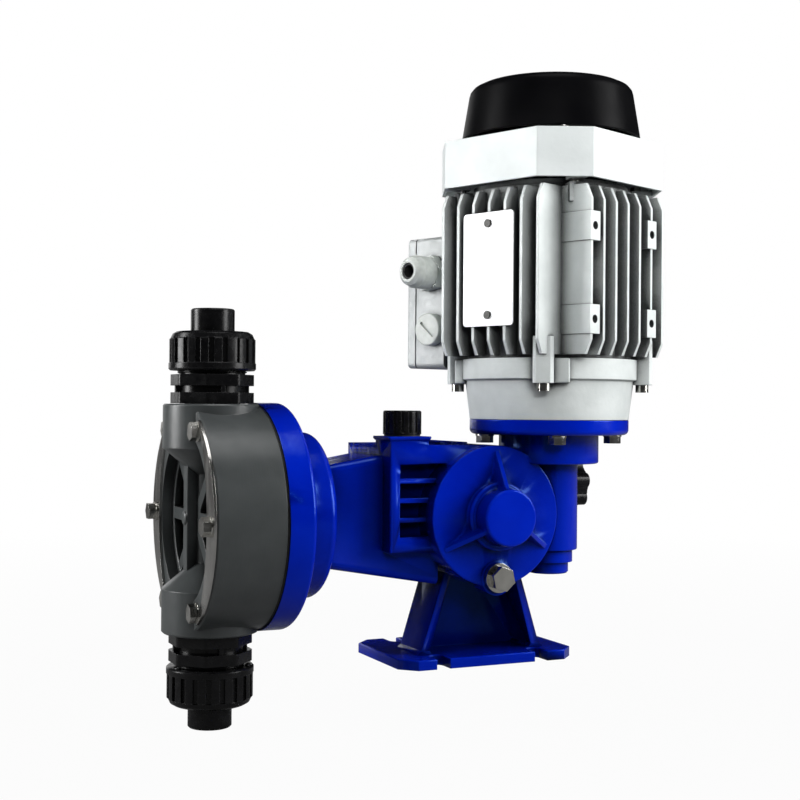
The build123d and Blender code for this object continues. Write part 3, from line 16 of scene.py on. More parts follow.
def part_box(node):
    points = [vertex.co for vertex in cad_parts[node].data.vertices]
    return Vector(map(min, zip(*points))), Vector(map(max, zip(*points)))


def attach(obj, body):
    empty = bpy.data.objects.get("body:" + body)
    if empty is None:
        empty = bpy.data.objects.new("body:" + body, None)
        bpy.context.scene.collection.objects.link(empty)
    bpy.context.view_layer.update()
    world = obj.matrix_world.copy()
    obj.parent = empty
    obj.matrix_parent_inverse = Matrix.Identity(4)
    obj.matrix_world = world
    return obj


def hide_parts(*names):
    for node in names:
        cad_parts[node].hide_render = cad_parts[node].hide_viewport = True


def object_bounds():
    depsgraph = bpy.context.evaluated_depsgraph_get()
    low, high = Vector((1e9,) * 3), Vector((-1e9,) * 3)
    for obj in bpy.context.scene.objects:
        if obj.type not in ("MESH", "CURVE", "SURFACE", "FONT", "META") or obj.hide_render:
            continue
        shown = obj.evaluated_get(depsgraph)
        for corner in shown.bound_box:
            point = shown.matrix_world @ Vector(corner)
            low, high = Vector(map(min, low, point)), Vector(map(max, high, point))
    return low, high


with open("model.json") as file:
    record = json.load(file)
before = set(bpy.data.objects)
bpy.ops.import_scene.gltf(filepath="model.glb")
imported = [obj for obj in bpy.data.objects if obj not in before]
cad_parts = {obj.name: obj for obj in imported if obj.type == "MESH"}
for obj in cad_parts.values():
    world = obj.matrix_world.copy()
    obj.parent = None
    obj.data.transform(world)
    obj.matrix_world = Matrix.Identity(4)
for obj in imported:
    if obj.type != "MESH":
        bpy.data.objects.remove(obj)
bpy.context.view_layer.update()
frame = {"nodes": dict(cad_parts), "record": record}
nodes = frame["nodes"]

# %% [markdown]
# ## The places that everything is measured from
# Four straight lines carry this pump: the level axis of the head, the upright axis of the motor, the
# upright axis of the two unions and the axis of the round boss. Each is read from the solid that
# turns on it, so that what is added later sits where the solids are. The motor stands turned on its
# own axis, and that angle was measured in the photograph.

# %% Find the axes of the pump
def middle(name):
    """The centre of a solid's box."""
    low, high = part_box(name)
    return (low + high) / 2


motor_mid = middle("motor_shaft")
union_mid = middle("discharge_union_nut")
boss_mid = middle("worm_wheel")
axis_z = middle("diaphragm_disc").z
motor_turn = radians(21.4)
print("pump axis", round(axis_z, 4), "m high, motor axis at", [round(v, 4) for v in motor_mid[:2]])

# %% [markdown]
# ## The camera
# A product photograph is taken from far away with a long lens, so upright edges stay upright. The
# camera stands about as high as the blue flange under the motor, turned about 25 degrees from the
# front. The turn, the small rise and the small roll are written as angles, and a cross product and the
# roll give the axes of the camera from them. That is easier to correct than a list of nine numbers.
# The focal length was found in pixels of the photograph, and the width of the sensor makes it a lens.

# %% Set up the camera
camera_place = Vector((-0.4154, -0.8028, 0.1663))
yaw, rise, roll = radians(24.58), radians(0.24), radians(0.42)
ahead = Vector((sin(yaw) * cos(rise), cos(yaw) * cos(rise), sin(rise)))
sideways = Vector((cos(yaw), -sin(yaw), 0))
upward = sideways.cross(ahead)
across = sideways * cos(roll) + upward * sin(roll)
upright = upward * cos(roll) - sideways * sin(roll)

sensor_width = 36
focal_pixels, photo_pixels = 1344.2, 800
lens = bpy.data.cameras.new("camera")
lens.sensor_width = sensor_width
lens.lens = sensor_width * focal_pixels / photo_pixels
lens.clip_start = 0.01
camera = bpy.data.objects.new("camera", lens)
camera.matrix_world = Matrix((
    (across.x, upright.x, -ahead.x, camera_place.x),
    (across.y, upright.y, -ahead.y, camera_place.y),
    (across.z, upright.z, -ahead.z, camera_place.z),
    (0, 0, 0, 1)))
bpy.context.scene.collection.objects.link(camera)
bpy.context.scene.camera = camera
bpy.context.scene.view_settings.view_transform = "Standard"
print("lens of", round(lens.lens, 1), "mm")

# %% [markdown]
# ## A white studio
# The photograph has a plain white ground. Turning up the lamps until the ground is white would bleach
# the pump. Instead the world looks white to rays that come straight from the camera, and gives a much
# lower light to everything else. The Light Path node tells the two apart. A glossy surface sees the
# white too, but only straight behind the pump, where the paper backdrop of a studio hangs. The rest of
# the studio is dark, and that keeps the blacks of the plastic black.

# %% Make the world
def maths(tree, kind, first, second):
    """One maths step between two sockets or numbers."""
    step = tree.nodes.new("ShaderNodeMath")
    step.operation = kind
    for slot, value in enumerate((first, second)):
        if isinstance(value, (int, float)):
            step.inputs[slot].default_value = value
        else:
            tree.links.new(value, step.inputs[slot])
    return step.outputs[0]


def end_in_blend(tree, share, first, second, output):
    """Ends a node tree in a blend of two shaders. A share of 0 shows the first alone."""
    blend = tree.nodes.new("ShaderNodeMixShader")
    out = tree.nodes.new(output)
    tree.links.new(share, blend.inputs[0])
    tree.links.new(first.outputs[0], blend.inputs[1])
    tree.links.new(second.outputs[0], blend.inputs[2])
    tree.links.new(blend.outputs[0], out.inputs[0])


ambient, ambient_less_in_gloss = 0.06, 0.05
backdrop_edge = 0.93
world = bpy.data.worlds.new("studio")
world.use_nodes = True
bpy.context.scene.world = world
tree = world.node_tree
tree.nodes.clear()
path = tree.nodes.new("ShaderNodeLightPath")
where = tree.nodes.new("ShaderNodeTexCoord")
split = tree.nodes.new("ShaderNodeSeparateXYZ")
tree.links.new(where.outputs["Generated"], split.inputs[0])
behind = maths(tree, "GREATER_THAN", split.outputs["Y"], backdrop_edge)
mirrored = maths(tree, "MULTIPLY", path.outputs["Is Glossy Ray"], behind)
seen = maths(tree, "MAXIMUM", path.outputs["Is Camera Ray"], path.outputs["Is Transmission Ray"])
seen = maths(tree, "MAXIMUM", seen, mirrored)
less = maths(tree, "MULTIPLY", path.outputs["Is Glossy Ray"], ambient_less_in_gloss)
soft = tree.nodes.new("ShaderNodeBackground")
soft.inputs["Color"].default_value = (0.95, 0.97, 1, 1)
tree.links.new(maths(tree, "SUBTRACT", ambient, less), soft.inputs["Strength"])
white = tree.nodes.new("ShaderNodeBackground")
white.inputs["Color"].default_value = (1, 1, 1, 1)
end_in_blend(tree, seen, soft, white, "ShaderNodeOutputWorld")
print("world of", len(tree.nodes), "nodes")

# %% [markdown]
# Each round surface of the photograph has two bright bands. Where they lie tells where the lamps
# stood: a mirror ray doubles the angle of the surface, so a band 28 degrees round a pipe means a lamp
# 56 degrees round from the camera. One soft lamp stands far round to the right, about 20 degrees up,
# and the other stands well round to the left. A weak one hangs overhead for the tops. The last one
# is a narrow beam beside the camera. It falls on the motor only, whose surfaces between the two bands
# would go grey, and it leaves no reflection of its own.

# %% Hang the lamps
def lamp(name, place, aim, size, power):
    """Hangs a soft rectangular lamp at a place, aimed at a point. Its power is in watts."""
    light = bpy.data.lights.new(name, "AREA")
    light.shape = "RECTANGLE"
    light.size, light.size_y = size
    light.energy = power
    thing = bpy.data.objects.new(name, light)
    thing.location = place
    thing.rotation_euler = (Vector(aim) - Vector(place)).to_track_quat("-Z", "Y").to_euler()
    bpy.context.scene.collection.objects.link(thing)
    print(name, "gives", power, "W")
    return thing


lamp("left_softbox", (-1.27, 0.44, 0.55), (-0.05, 0, 0.18), (0.45, 0.9), 17)
lamp("right_softbox", (1.08, -0.8, 0.64), (0, 0, 0.16), (0.7, 0.9), 18)
lamp("top_softbox", (0.0, -0.25, 1.5), (0, 0, 0.1), (0.7, 0.7), 5)
beam = lamp("front_softbox", (-0.3, -1.25, 0.72), (0.05, -0.03, 0.33), (0.5, 0.4), 0.55)
beam.data.spread = radians(28)
beam.visible_glossy = False

# %% [markdown]
# The lower union hangs below the foot, so the floor lies at the lowest point of the pump. For the
# camera most of its light is its own white, and the rest is lit, which leaves a faint shadow.

# %% Lay the floor
low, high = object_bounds()
floor_z = low[2] - 0.0005
floor_mesh = bpy.data.meshes.new("floor")
sheet = bmesh.new()
bmesh.ops.create_grid(sheet, x_segments=8, y_segments=8, size=14)
sheet.to_mesh(floor_mesh)
sheet.free()
floor = bpy.data.objects.new("floor", floor_mesh)
floor.location = (0, 0, floor_z)
bpy.context.scene.collection.objects.link(floor)
print("floor at", round(floor_z, 4), "m")

# %% [markdown]
# The shadow fades out with distance: from a third of a metre on, the share of plain white grows,
# until the lit paper is gone. A glossy surface sees the lit paper, which is much darker.

# %% Lay the paper on it
near_share, fade_from, fade_to = 0.965, 0.35, 1.3
share_in_gloss = 0.05
paper = bpy.data.materials.new("floor_paper")
paper.use_nodes = True
tree = paper.node_tree
tree.nodes.clear()
path = tree.nodes.new("ShaderNodeLightPath")
where = tree.nodes.new("ShaderNodeTexCoord")
far = tree.nodes.new("ShaderNodeVectorMath")
far.operation = "LENGTH"
tree.links.new(where.outputs["Object"], far.inputs[0])
fade = tree.nodes.new("ShaderNodeMapRange")
fade.inputs["From Min"].default_value = fade_from
fade.inputs["From Max"].default_value = fade_to
fade.inputs["To Min"].default_value = near_share
tree.links.new(far.outputs["Value"], fade.inputs["Value"])
seen = maths(tree, "MAXIMUM", path.outputs["Is Camera Ray"],
             maths(tree, "MULTIPLY", path.outputs["Is Glossy Ray"], share_in_gloss))
share = maths(tree, "MULTIPLY", seen, fade.outputs[0])
dull = tree.nodes.new("ShaderNodeBsdfDiffuse")
dull.inputs["Color"].default_value = (0.22, 0.22, 0.22, 1)
glow = tree.nodes.new("ShaderNodeEmission")
glow.inputs["Strength"].default_value = 1.0
end_in_blend(tree, share, dull, glow, "ShaderNodeOutputMaterial")
floor_mesh.materials.append(paper)
print("paper of", len(tree.nodes), "nodes")

# %% [markdown]
# ## How a finish is built
# Every finish starts from the same shader. What makes paint look like paint, and a casting like a
# casting, are three small changes across the surface: of its colour, of its gloss and of its height.
# All three come from noise that is measured in metres, so a grain of one millimetre is one
# millimetre on every piece.

# %% Start a finish
def shader_of(mat):
    """The one shader that every finish adjusts."""
    return mat.node_tree.nodes["Principled BSDF"]


def finish(name, rough, metal=0.0, specular=0.5):
    """Starts a finish with one roughness, one share of metal and one strength of reflection."""
    mat = bpy.data.materials.new(name)
    mat.use_nodes = True
    shader_of(mat).inputs["Roughness"].default_value = rough
    shader_of(mat).inputs["Metallic"].default_value = metal
    shader_of(mat).inputs["Specular IOR Level"].default_value = specular
    print("finish", name)
    return mat


# %% Measure noise in metres
def noise(mat, grain, stretch=(1, 1, 1), detail=3.0):
    """Noise whose blobs are about grain metres wide, longer where stretch is small."""
    tree = mat.node_tree
    where = tree.nodes.new("ShaderNodeTexCoord")
    size = tree.nodes.new("ShaderNodeMapping")
    size.inputs["Scale"].default_value = stretch
    cloud = tree.nodes.new("ShaderNodeTexNoise")
    cloud.inputs["Scale"].default_value = 1 / grain
    cloud.inputs["Detail"].default_value = detail
    tree.links.new(where.outputs["Object"], size.inputs["Vector"])
    tree.links.new(size.outputs["Vector"], cloud.inputs["Vector"])
    return cloud.outputs["Fac"]


# %% [markdown]
# Noise runs from 0 to 1, but most of it lies close to the middle. Each helper therefore spreads only
# that middle part over its two ends, or the ends would never be seen. The grain that should be felt
# rather than seen goes in as height, over edges that a Bevel node rounds.

# %% Colour, gloss and height from noise
def colours(mat, amount, dark, light, low=0.35, high=0.65):
    """Colour between two tones, and what other steps may still mix into it."""
    ramp = mat.node_tree.nodes.new("ShaderNodeValToRGB")
    ramp.color_ramp.elements[0].position = low
    ramp.color_ramp.elements[0].color = (*dark, 1)
    ramp.color_ramp.elements[1].position = high
    ramp.color_ramp.elements[1].color = (*light, 1)
    mat.node_tree.links.new(amount, ramp.inputs[0])
    mat.node_tree.links.new(ramp.outputs[0], shader_of(mat).inputs["Base Color"])
    return ramp.outputs[0]


def gloss(mat, amount, low, high):
    """Roughness that wanders between two values."""
    span = mat.node_tree.nodes.new("ShaderNodeMapRange")
    span.inputs["From Min"].default_value = 0.3
    span.inputs["From Max"].default_value = 0.7
    span.inputs["To Min"].default_value = low
    span.inputs["To Max"].default_value = high
    mat.node_tree.links.new(amount, span.inputs["Value"])
    mat.node_tree.links.new(span.outputs[0], shader_of(mat).inputs["Roughness"])


def heights(mat, layers, edge):
    """Bumps from (noise, depth in metres) layers over edges rounded by edge metres."""
    tree = mat.node_tree
    rounded = tree.nodes.new("ShaderNodeBevel")
    rounded.samples = 4
    rounded.inputs["Radius"].default_value = edge
    normal = rounded.outputs[0]
    for amount, depth in layers:
        bump = tree.nodes.new("ShaderNodeBump")
        bump.inputs["Distance"].default_value = depth
        tree.links.new(amount, bump.inputs["Height"])
        tree.links.new(normal, bump.inputs["Normal"])
        normal = bump.outputs[0]
    tree.links.new(normal, shader_of(mat).inputs["Normal"])
    return rounded.outputs[0]


# %% [markdown]
# Sharp edges are mixed towards a lighter colour, a painted highlight. A rounded normal differs from
# the true one only near an edge, so the dot product of the two finds the edges with no painting by
# hand.

# %% Pick out the edges
def mix_in(mat, base, colour, measure, none, full, amount):
    """Mixes in a colour as a measure goes from none to full, and returns the mixed colour."""
    tree = mat.node_tree
    span = tree.nodes.new("ShaderNodeMapRange")
    span.inputs["From Min"].default_value = none
    span.inputs["From Max"].default_value = full
    span.inputs["To Max"].default_value = amount
    mix = tree.nodes.new("ShaderNodeMix")
    mix.data_type = "RGBA"
    mix.inputs["B"].default_value = (*colour, 1)
    tree.links.new(measure, span.inputs["Value"])
    tree.links.new(span.outputs[0], mix.inputs["Factor"])
    tree.links.new(base, mix.inputs["A"])
    tree.links.new(mix.outputs["Result"], shader_of(mat).inputs["Base Color"])
    return mix.outputs["Result"]


def paint_edge_highlight(mat, base, rounded, colour, amount):
    """Mixes a lighter colour into the base near edges as a painted highlight, and returns the result.
    """
    tree = mat.node_tree
    true = tree.nodes.new("ShaderNodeNewGeometry")
    dot = tree.nodes.new("ShaderNodeVectorMath")
    dot.operation = "DOT_PRODUCT"
    tree.links.new(true.outputs["Normal"], dot.inputs[0])
    tree.links.new(rounded, dot.inputs[1])
    return mix_in(mat, base, colour, dot.outputs["Value"], 0.995, 0.85, amount)


# %% [markdown]
# Corners, gaps between fins and places under rims are darkened with painted shade. The Ambient
# Occlusion node measures how much of the sky a point sees within a short reach, so it finds those
# places, and a dark colour mixed in there makes them darker than plain light makes them.

# %% Paint shade into hollows
def paint_shade_in_hollows(mat, base, colour, reach, amount, closed=0.4, free=0.85):
    """Mixes a dark colour, as painted shade, into places that see little of the sky."""
    sky = mat.node_tree.nodes.new("ShaderNodeAmbientOcclusion")
    sky.samples = 8
    sky.inputs["Distance"].default_value = reach
    mix_in(mat, base, colour, sky.outputs["AO"], free, closed, amount)


# %% [markdown]
# ## Blue enamel on the casting
# The gearbox is sand cast and dipped in a deep blue enamel. The enamel is glossy and its reflections
# are blue as well, which the specular tint gives. The skin of the casting shows through it as a slow
# ripple with a fine orange peel on top.

# %% Blue enamel
blue = finish("blue_enamel", 0.26, specular=0.55)
shader_of(blue).inputs["Specular Tint"].default_value = (0.1, 0.32, 1.0, 1)
ripple = noise(blue, 0.014, detail=2)
peel = noise(blue, 0.0016, detail=2)
tone = colours(blue, noise(blue, 0.03), (0.0, 0.013, 0.45), (0.0, 0.017, 0.53))
gloss(blue, ripple, 0.13, 0.21)
rounded = heights(blue, [(ripple, 0.0003), (peel, 0.00003)], 0.0009)
# Edges are mixed towards a lighter blue as a painted highlight, and hollows towards near black as
# painted shade.
tone = paint_edge_highlight(blue, tone, rounded, (0.01, 0.06, 0.75), 0.7)
paint_shade_in_hollows(blue, tone, (0.0, 0.0015, 0.025), 0.045, 0.9, 0.55, 0.95)

# %% [markdown]
# ## Grey plastic of the head
# The head is turned and milled from a thick grey plastic plate. Its skin is smooth with a soft sheen,
# with faint marks of the lathe, and a painted highlight makes its milled edges a little lighter.

# %% Grey head plastic
grey = finish("grey_head_plastic", 0.35, specular=0.5)
lathe = noise(grey, 0.0007, stretch=(1, 0.05, 0.05), detail=1)
tone = colours(grey, noise(grey, 0.02), (0.054, 0.06, 0.061), (0.066, 0.073, 0.074))
gloss(grey, noise(grey, 0.006), 0.29, 0.38)
rounded = heights(grey, [(lathe, 0.00003), (noise(grey, 0.0009), 0.000015)], 0.0006)
# The milled edges get a painted highlight, and the windows and hollows of the head go nearly black
# with painted shade.
tone = paint_edge_highlight(grey, tone, rounded, (0.2, 0.205, 0.2), 0.55)
paint_shade_in_hollows(grey, tone, (0.003, 0.003, 0.003), 0.03, 0.97, 0.35, 0.8)

# %% [markdown]
# ## Black parts
# The unions, the knob and the oil cap are moulded in black plastic. It is nearly black, so most of its
# shape is told by gloss and a fine pebble from the mould, and a painted highlight makes its ridges
# slightly lighter.

# %% Black moulded plastic
black = finish("black_moulded_plastic", 0.28, specular=0.25)
pebble = noise(black, 0.0008, detail=2)
tone = colours(black, noise(black, 0.008), (0.0035, 0.0035, 0.004), (0.007, 0.007, 0.0075))
gloss(black, noise(black, 0.004), 0.2, 0.3)
rounded = heights(black, [(pebble, 0.000008)], 0.0007)
# Ridges get a painted highlight, and narrow gaps a painted shade.
tone = paint_edge_highlight(black, tone, rounded, (0.035, 0.035, 0.037), 0.6)
paint_shade_in_hollows(black, tone, (0.0015, 0.0015, 0.0015), 0.008, 0.8)

canopy_black = finish("black_canopy_lacquer", 0.36, specular=0.03)
wave = noise(canopy_black, 0.035, detail=1)
colours(canopy_black, wave, (0.002, 0.002, 0.0025), (0.004, 0.004, 0.0045))
gloss(canopy_black, noise(canopy_black, 0.01), 0.32, 0.4)
heights(canopy_black, [(wave, 0.0001), (noise(canopy_black, 0.002), 0.000006)], 0.001)

rubber = finish("black_rubber", 0.65)
colours(rubber, noise(rubber, 0.004), (0.012, 0.012, 0.012), (0.022, 0.022, 0.021))
gloss(rubber, noise(rubber, 0.002), 0.55, 0.75)
heights(rubber, [(noise(rubber, 0.0008), 0.00004)], 0.0004)

# %% [markdown]
# ## Silver lacquer on the motor
# The motor is die-cast aluminium under a thin silver lacquer. A little metal in the shader gives it
# the way silver paint turns light and dark between its fins, and a painted shade darkens the folds.

# %% Silver lacquer and the pale cowl
silver = finish("silver_motor_lacquer", 0.5, metal=0.08, specular=0.3)
cast = noise(silver, 0.004, detail=4)
tone = colours(silver, noise(silver, 0.02), (0.64, 0.68, 0.67), (0.73, 0.77, 0.76))
gloss(silver, cast, 0.42, 0.58)
rounded = heights(silver, [(cast, 0.00015), (noise(silver, 0.0012), 0.00004)], 0.0007)
# Fin edges get a painted highlight, and the folds between fins a painted shade.
tone = paint_edge_highlight(silver, tone, rounded, (0.8, 0.83, 0.84), 0.7)
paint_shade_in_hollows(silver, tone, (0.02, 0.022, 0.022), 0.014, 0.96, 0.5, 0.93)

pale = finish("pale_cowl_lacquer", 0.5, metal=0.05, specular=0.25)
skin = noise(pale, 0.003, detail=3)
tone = colours(pale, noise(pale, 0.03), (0.68, 0.72, 0.715), (0.76, 0.8, 0.795))
gloss(pale, skin, 0.42, 0.55)
rounded = heights(pale, [(skin, 0.0001)], 0.0008)
# Edges get a painted highlight, and corners a painted shade.
tone = paint_edge_highlight(pale, tone, rounded, (0.82, 0.85, 0.86), 0.5)
paint_shade_in_hollows(pale, tone, (0.06, 0.062, 0.062), 0.012, 0.85)

# The terminal box and its lid are a darker copy of the silver lacquer, as painted shade. Their edges
# get a painted highlight and their corners a painted shade.
box_lacquer_shaded = finish("box_lacquer_painted_darker", 0.4, metal=0.1)
cast = noise(box_lacquer_shaded, 0.003, detail=4)
tone = colours(box_lacquer_shaded, noise(box_lacquer_shaded, 0.02), (0.36, 0.38, 0.38), (0.44, 0.46, 0.46))
gloss(box_lacquer_shaded, cast, 0.34, 0.5)
rounded = heights(box_lacquer_shaded, [(cast, 0.00015)], 0.0007)
tone = paint_edge_highlight(box_lacquer_shaded, tone, rounded, (0.55, 0.57, 0.57), 0.7)
paint_shade_in_hollows(box_lacquer_shaded, tone, (0.03, 0.032, 0.032), 0.012, 0.85)

# %% [markdown]
# ## Bare metals
# Stainless screws and plates, ground steel shafts and the bronze wheel are bare. Metal has no colour
# of its own below the reflection, so the grain does the work: long thin noise for brushing, round
# noise for a rolled surface.

# %% Metals
def bare_metal(name, dark, light, rough, grain, stretch=(1, 1, 1), depth=0.00002):
    """A polished or brushed metal that runs between two tones."""
    mat = finish(name, rough, metal=1.0)
    lines = noise(mat, grain, stretch=stretch, detail=3)
    tone = colours(mat, lines, dark, light)
    gloss(mat, lines, rough * 0.75, rough * 1.35)
    rounded = heights(mat, [(lines, depth)], 0.0004)
    # The edges get a lighter tone, a painted highlight.
    paint_edge_highlight(mat, tone, rounded, tuple(min(1.0, v * 1.25) for v in light), 0.5)
    return mat


polish_depth = 0.000003
stainless = bare_metal("polished_stainless", (0.5, 0.49, 0.47), (0.6, 0.59, 0.57), 0.2, 0.006,
                       (1, 1, 0.3), polish_depth)
screw_steel = bare_metal("bright_screws", (0.55, 0.54, 0.51), (0.68, 0.67, 0.63), 0.2, 0.004,
                         depth=polish_depth)
rivet_steel = bare_metal("dull_rivets", (0.03, 0.03, 0.03), (0.09, 0.09, 0.085), 0.45, 0.0007)
steel = bare_metal("ground_steel", (0.38, 0.38, 0.38), (0.56, 0.56, 0.56), 0.3, 0.001, (1, 0.1, 1))
bronze = bare_metal("wheel_bronze", (0.5, 0.32, 0.12), (0.68, 0.46, 0.2), 0.33, 0.0015)
copper = bare_metal("wound_copper", (0.5, 0.18, 0.06), (0.75, 0.3, 0.12), 0.3, 0.0008,
                    (1, 1, 0.05), 0.0002)

# %% [markdown]
# The bare plate on the motor is thin rolled metal under a clear lacquer. It looks pale rather than
# like a mirror, so it has only a little metal in it and a fine grain along the plate.

# %% The plate on the motor
plate_metal = finish("bare_name_plate", 0.4, metal=0.15)
rolled = noise(plate_metal, 0.001, (1, 1, 0.03))
colours(plate_metal, rolled, (0.76, 0.77, 0.78), (0.83, 0.84, 0.85))
gloss(plate_metal, noise(plate_metal, 0.003), 0.33, 0.48)
heights(plate_metal, [(noise(plate_metal, 0.0012), 0.00001)], 0.0003)

# %% [markdown]
# ## Pale plastics
# The cable gland and the blanking plug are a pale grey nylon that lets a little light in, and the
# valve balls are polished ceramic.

# %% Nylon and ceramic
nylon = finish("pale_nylon", 0.42)
shader_of(nylon).inputs["Subsurface Weight"].default_value = 0.08
shader_of(nylon).inputs["Subsurface Radius"].default_value = (0.001, 0.001, 0.0009)
tone = colours(nylon, noise(nylon, 0.006), (0.5, 0.53, 0.5), (0.6, 0.63, 0.6))
gloss(nylon, noise(nylon, 0.002), 0.36, 0.5)
rounded = heights(nylon, [(noise(nylon, 0.0007), 0.00002)], 0.0005)
# The edges get a lighter tone, a painted highlight.
paint_edge_highlight(nylon, tone, rounded, (0.75, 0.78, 0.75), 0.5)

ceramic = finish("polished_ceramic", 0.12)
colours(ceramic, noise(ceramic, 0.004), (0.82, 0.8, 0.74), (0.9, 0.88, 0.83))
gloss(ceramic, noise(ceramic, 0.002), 0.08, 0.16)
heights(ceramic, [(noise(ceramic, 0.001), 0.000004)], 0.0002)

# %% [markdown]
# ## Dressing the solids
# The record names a slot for every solid, such as blue paint or stainless. One table from slot to
# finish dresses all of them, and a second one covers the few whose finish differs from their slot's.

# %% Put the finishes on
slot_finish = {
    "blue_paint": blue, "head_grey": grey, "black_plastic": black, "motor_grey": silver,
    "cowl_grey": pale, "canopy_black": canopy_black, "stainless": stainless, "steel": steel,
    "bronze": bronze, "copper": copper, "rubber": rubber, "white_plastic": nylon,
    "plate": plate_metal, "ball": ceramic,
}
own_finish = dict.fromkeys(("head_bolts", "head_washers", "flange_bolts", "shield_screws",
                            "cowl_screws", "lid_screws", "cover_screws", "drain_plug"), screw_steel)
own_finish |= {"plate_rivets": rivet_steel, "terminal_box": box_lacquer_shaded, "box_lid": box_lacquer_shaded}
slot_of = {part["node"]: part["material_slot"] for part in frame["record"]["subparts"]}
for name, thing in nodes.items():
    thing.data.materials.clear()
    thing.data.materials.append(own_finish.get(name, slot_finish[slot_of[name]]))
worn = {thing.data.materials[0].name for thing in nodes.values()}
print("dressed", len(nodes), "solids in", len(worn), "finishes")

# %% [markdown]
# ## Helpers for added pieces
# Every added piece ends the same way: its normals face outwards, its faces shade smoothly up to a
# sharp angle, it gets a finish, and it rides on the body that carries it. Where a narrow rounding
# meets a wide flat face, plain smooth shading bends the light on the flat. The Weighted Normal
# modifier lets the wide face win, so that it stays flat.

# %% Finish a piece
def piece(name, shape, body, mat, sharp=35):
    """Makes a riding object of a bmesh."""
    bmesh.ops.recalc_face_normals(shape, faces=shape.faces)
    mesh = bpy.data.meshes.new(name)
    shape.to_mesh(mesh)
    shape.free()
    for face in mesh.polygons:
        face.use_smooth = True
    mesh.set_sharp_from_angle(angle=radians(sharp))
    mesh.materials.append(mat)
    thing = bpy.data.objects.new(name, mesh)
    bpy.context.scene.collection.objects.link(thing)
    even = thing.modifiers.new("even_shading", "WEIGHTED_NORMAL")
    even.keep_sharp = True
    even.weight = 100
    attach(thing, body)
    print(name, "has", len(mesh.polygons), "faces")
    return thing


# %% [markdown]
# Most small parts of a pump are turned on a lathe or cut from a bar, so two helpers make nearly all
# of them. One turns an outline about the upright axis, and the other makes a block with rounded
# edges. A turned outline closes on itself, where its first and last points have to become one.

# %% Turn outlines and bevel blocks
weld = 0.000002


def connected(starts):
    """All points that edges join to the starting points."""
    reached = dict.fromkeys(starts)
    waiting = list(starts)
    while waiting:
        for edge in waiting.pop().link_edges:
            for vert in edge.verts:
                if vert not in reached:
                    reached[vert] = None
                    waiting.append(vert)
    return list(reached)


def turn_outline(shape, outline, place, steps):
    """Adds a solid of revolution from (radius, height) points to a bmesh."""
    line = [shape.verts.new((r, 0, h)) for r, h in outline]
    edges = [shape.edges.new(pair) for pair in zip(line, line[1:] + line[:1])]
    bmesh.ops.spin(shape, geom=line + edges, axis=(0, 0, 1), cent=(0, 0, 0), angle=2 * pi,
                   steps=steps, use_duplicate=False)
    turned = connected(line)
    bmesh.ops.remove_doubles(shape, verts=turned, dist=weld)
    bmesh.ops.transform(shape, matrix=place, verts=[vert for vert in turned if vert.is_valid])


def bevel_block(shape, low, high, place, edge):
    """Adds a block with rounded edges to a bmesh."""
    low, high = Vector(low), Vector(high)
    at = place @ Matrix.Translation((high + low) / 2) @ Matrix.Diagonal((*(high - low), 1))
    made = bmesh.ops.create_cube(shape, size=1, matrix=at)
    edges = list({edge for vert in made["verts"] for edge in vert.link_edges})
    bmesh.ops.bevel(shape, geom=edges, offset=edge, segments=2, affect="EDGES", profile=0.5)


# %% [markdown]
# ## The rain cover
# The cover over the fan is a deep steel cap. Its wall leans in a little, and it turns over a tight
# shoulder into an almost flat top. One outline turned about the motor's axis gives all of that, and
# four short feet carry it on the cowl.

# %% Make the rain cover
motor_axis = Matrix.Translation((motor_mid.x, motor_mid.y, 0)) @ Matrix.Rotation(motor_turn, 4, "Z")


def quarters(first):
    """Four places round the motor's axis, from a first angle in degrees."""
    return [motor_axis @ Matrix.Rotation(radians(first + 90 * i), 4, "Z") for i in range(4)]


cap_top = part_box("canopy")[1].z
cowl_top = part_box("fan_cowl")[1].z
rim_z = cowl_top + 0.004
outside = [(0.0588, rim_z), (0.059, rim_z + 0.0004), (0.0543, cap_top - 0.0094),
           (0.0536, cap_top - 0.0071), (0.0518, cap_top - 0.0049), (0.0485, cap_top - 0.0033),
           (0.044, cap_top - 0.0023), (0.034, cap_top - 0.0013), (0.018, cap_top - 0.0004),
           (0, cap_top - 0.0001)]
inside = [(0, cap_top - 0.0026), (0.034, cap_top - 0.0038), (0.0475, cap_top - 0.0061),
          (0.0514, cap_top - 0.0094), (0.0562, rim_z)]
foot_ring = 0.0525
shape = bmesh.new()
turn_outline(shape, outside + inside, motor_axis, 96)
for corner in quarters(45):
    turn_outline(shape, [(0, cowl_top + 0.0001), (0.0037, cowl_top + 0.0001),
                         (0.0041, cowl_top + 0.0005), (0.0041, rim_z + 0.006), (0, rim_z + 0.006)],
                 corner @ Matrix.Translation((foot_ring, 0, 0)), 24)
cover = piece("rain_cover", shape, "casing", canopy_black)
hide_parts("canopy")

# %% [markdown]
# Small pan-head screws stand on the corners of the cowl beside the cover. The outline of a head goes
# over its rounded rim and down into a round recess in the middle, so one turn makes both.

# %% Screws on the cowl
screw_ring = 0.0648
shape = bmesh.new()
for corner in quarters(45):
    turn_outline(shape, [(0, 0.00005), (0.0033, 0.00005), (0.0033, 0.0009), (0.0028, 0.0017),
                         (0.0017, 0.0022), (0.0012, 0.0022), (0.0009, 0.0012), (0, 0.0012)],
                 corner @ Matrix.Translation((screw_ring, 0, cowl_top)), 24)
piece("cowl_pan_screws", shape, "casing", screw_steel)

# %% [markdown]
# ## The rib in front of the head
# The spokes of the head lie at the bottom of its round recess. One flat rib stands in front of them
# from top to bottom, with a small round boss in its middle, and a narrow ledge runs round the recess
# so that the windows stop short of its wall.

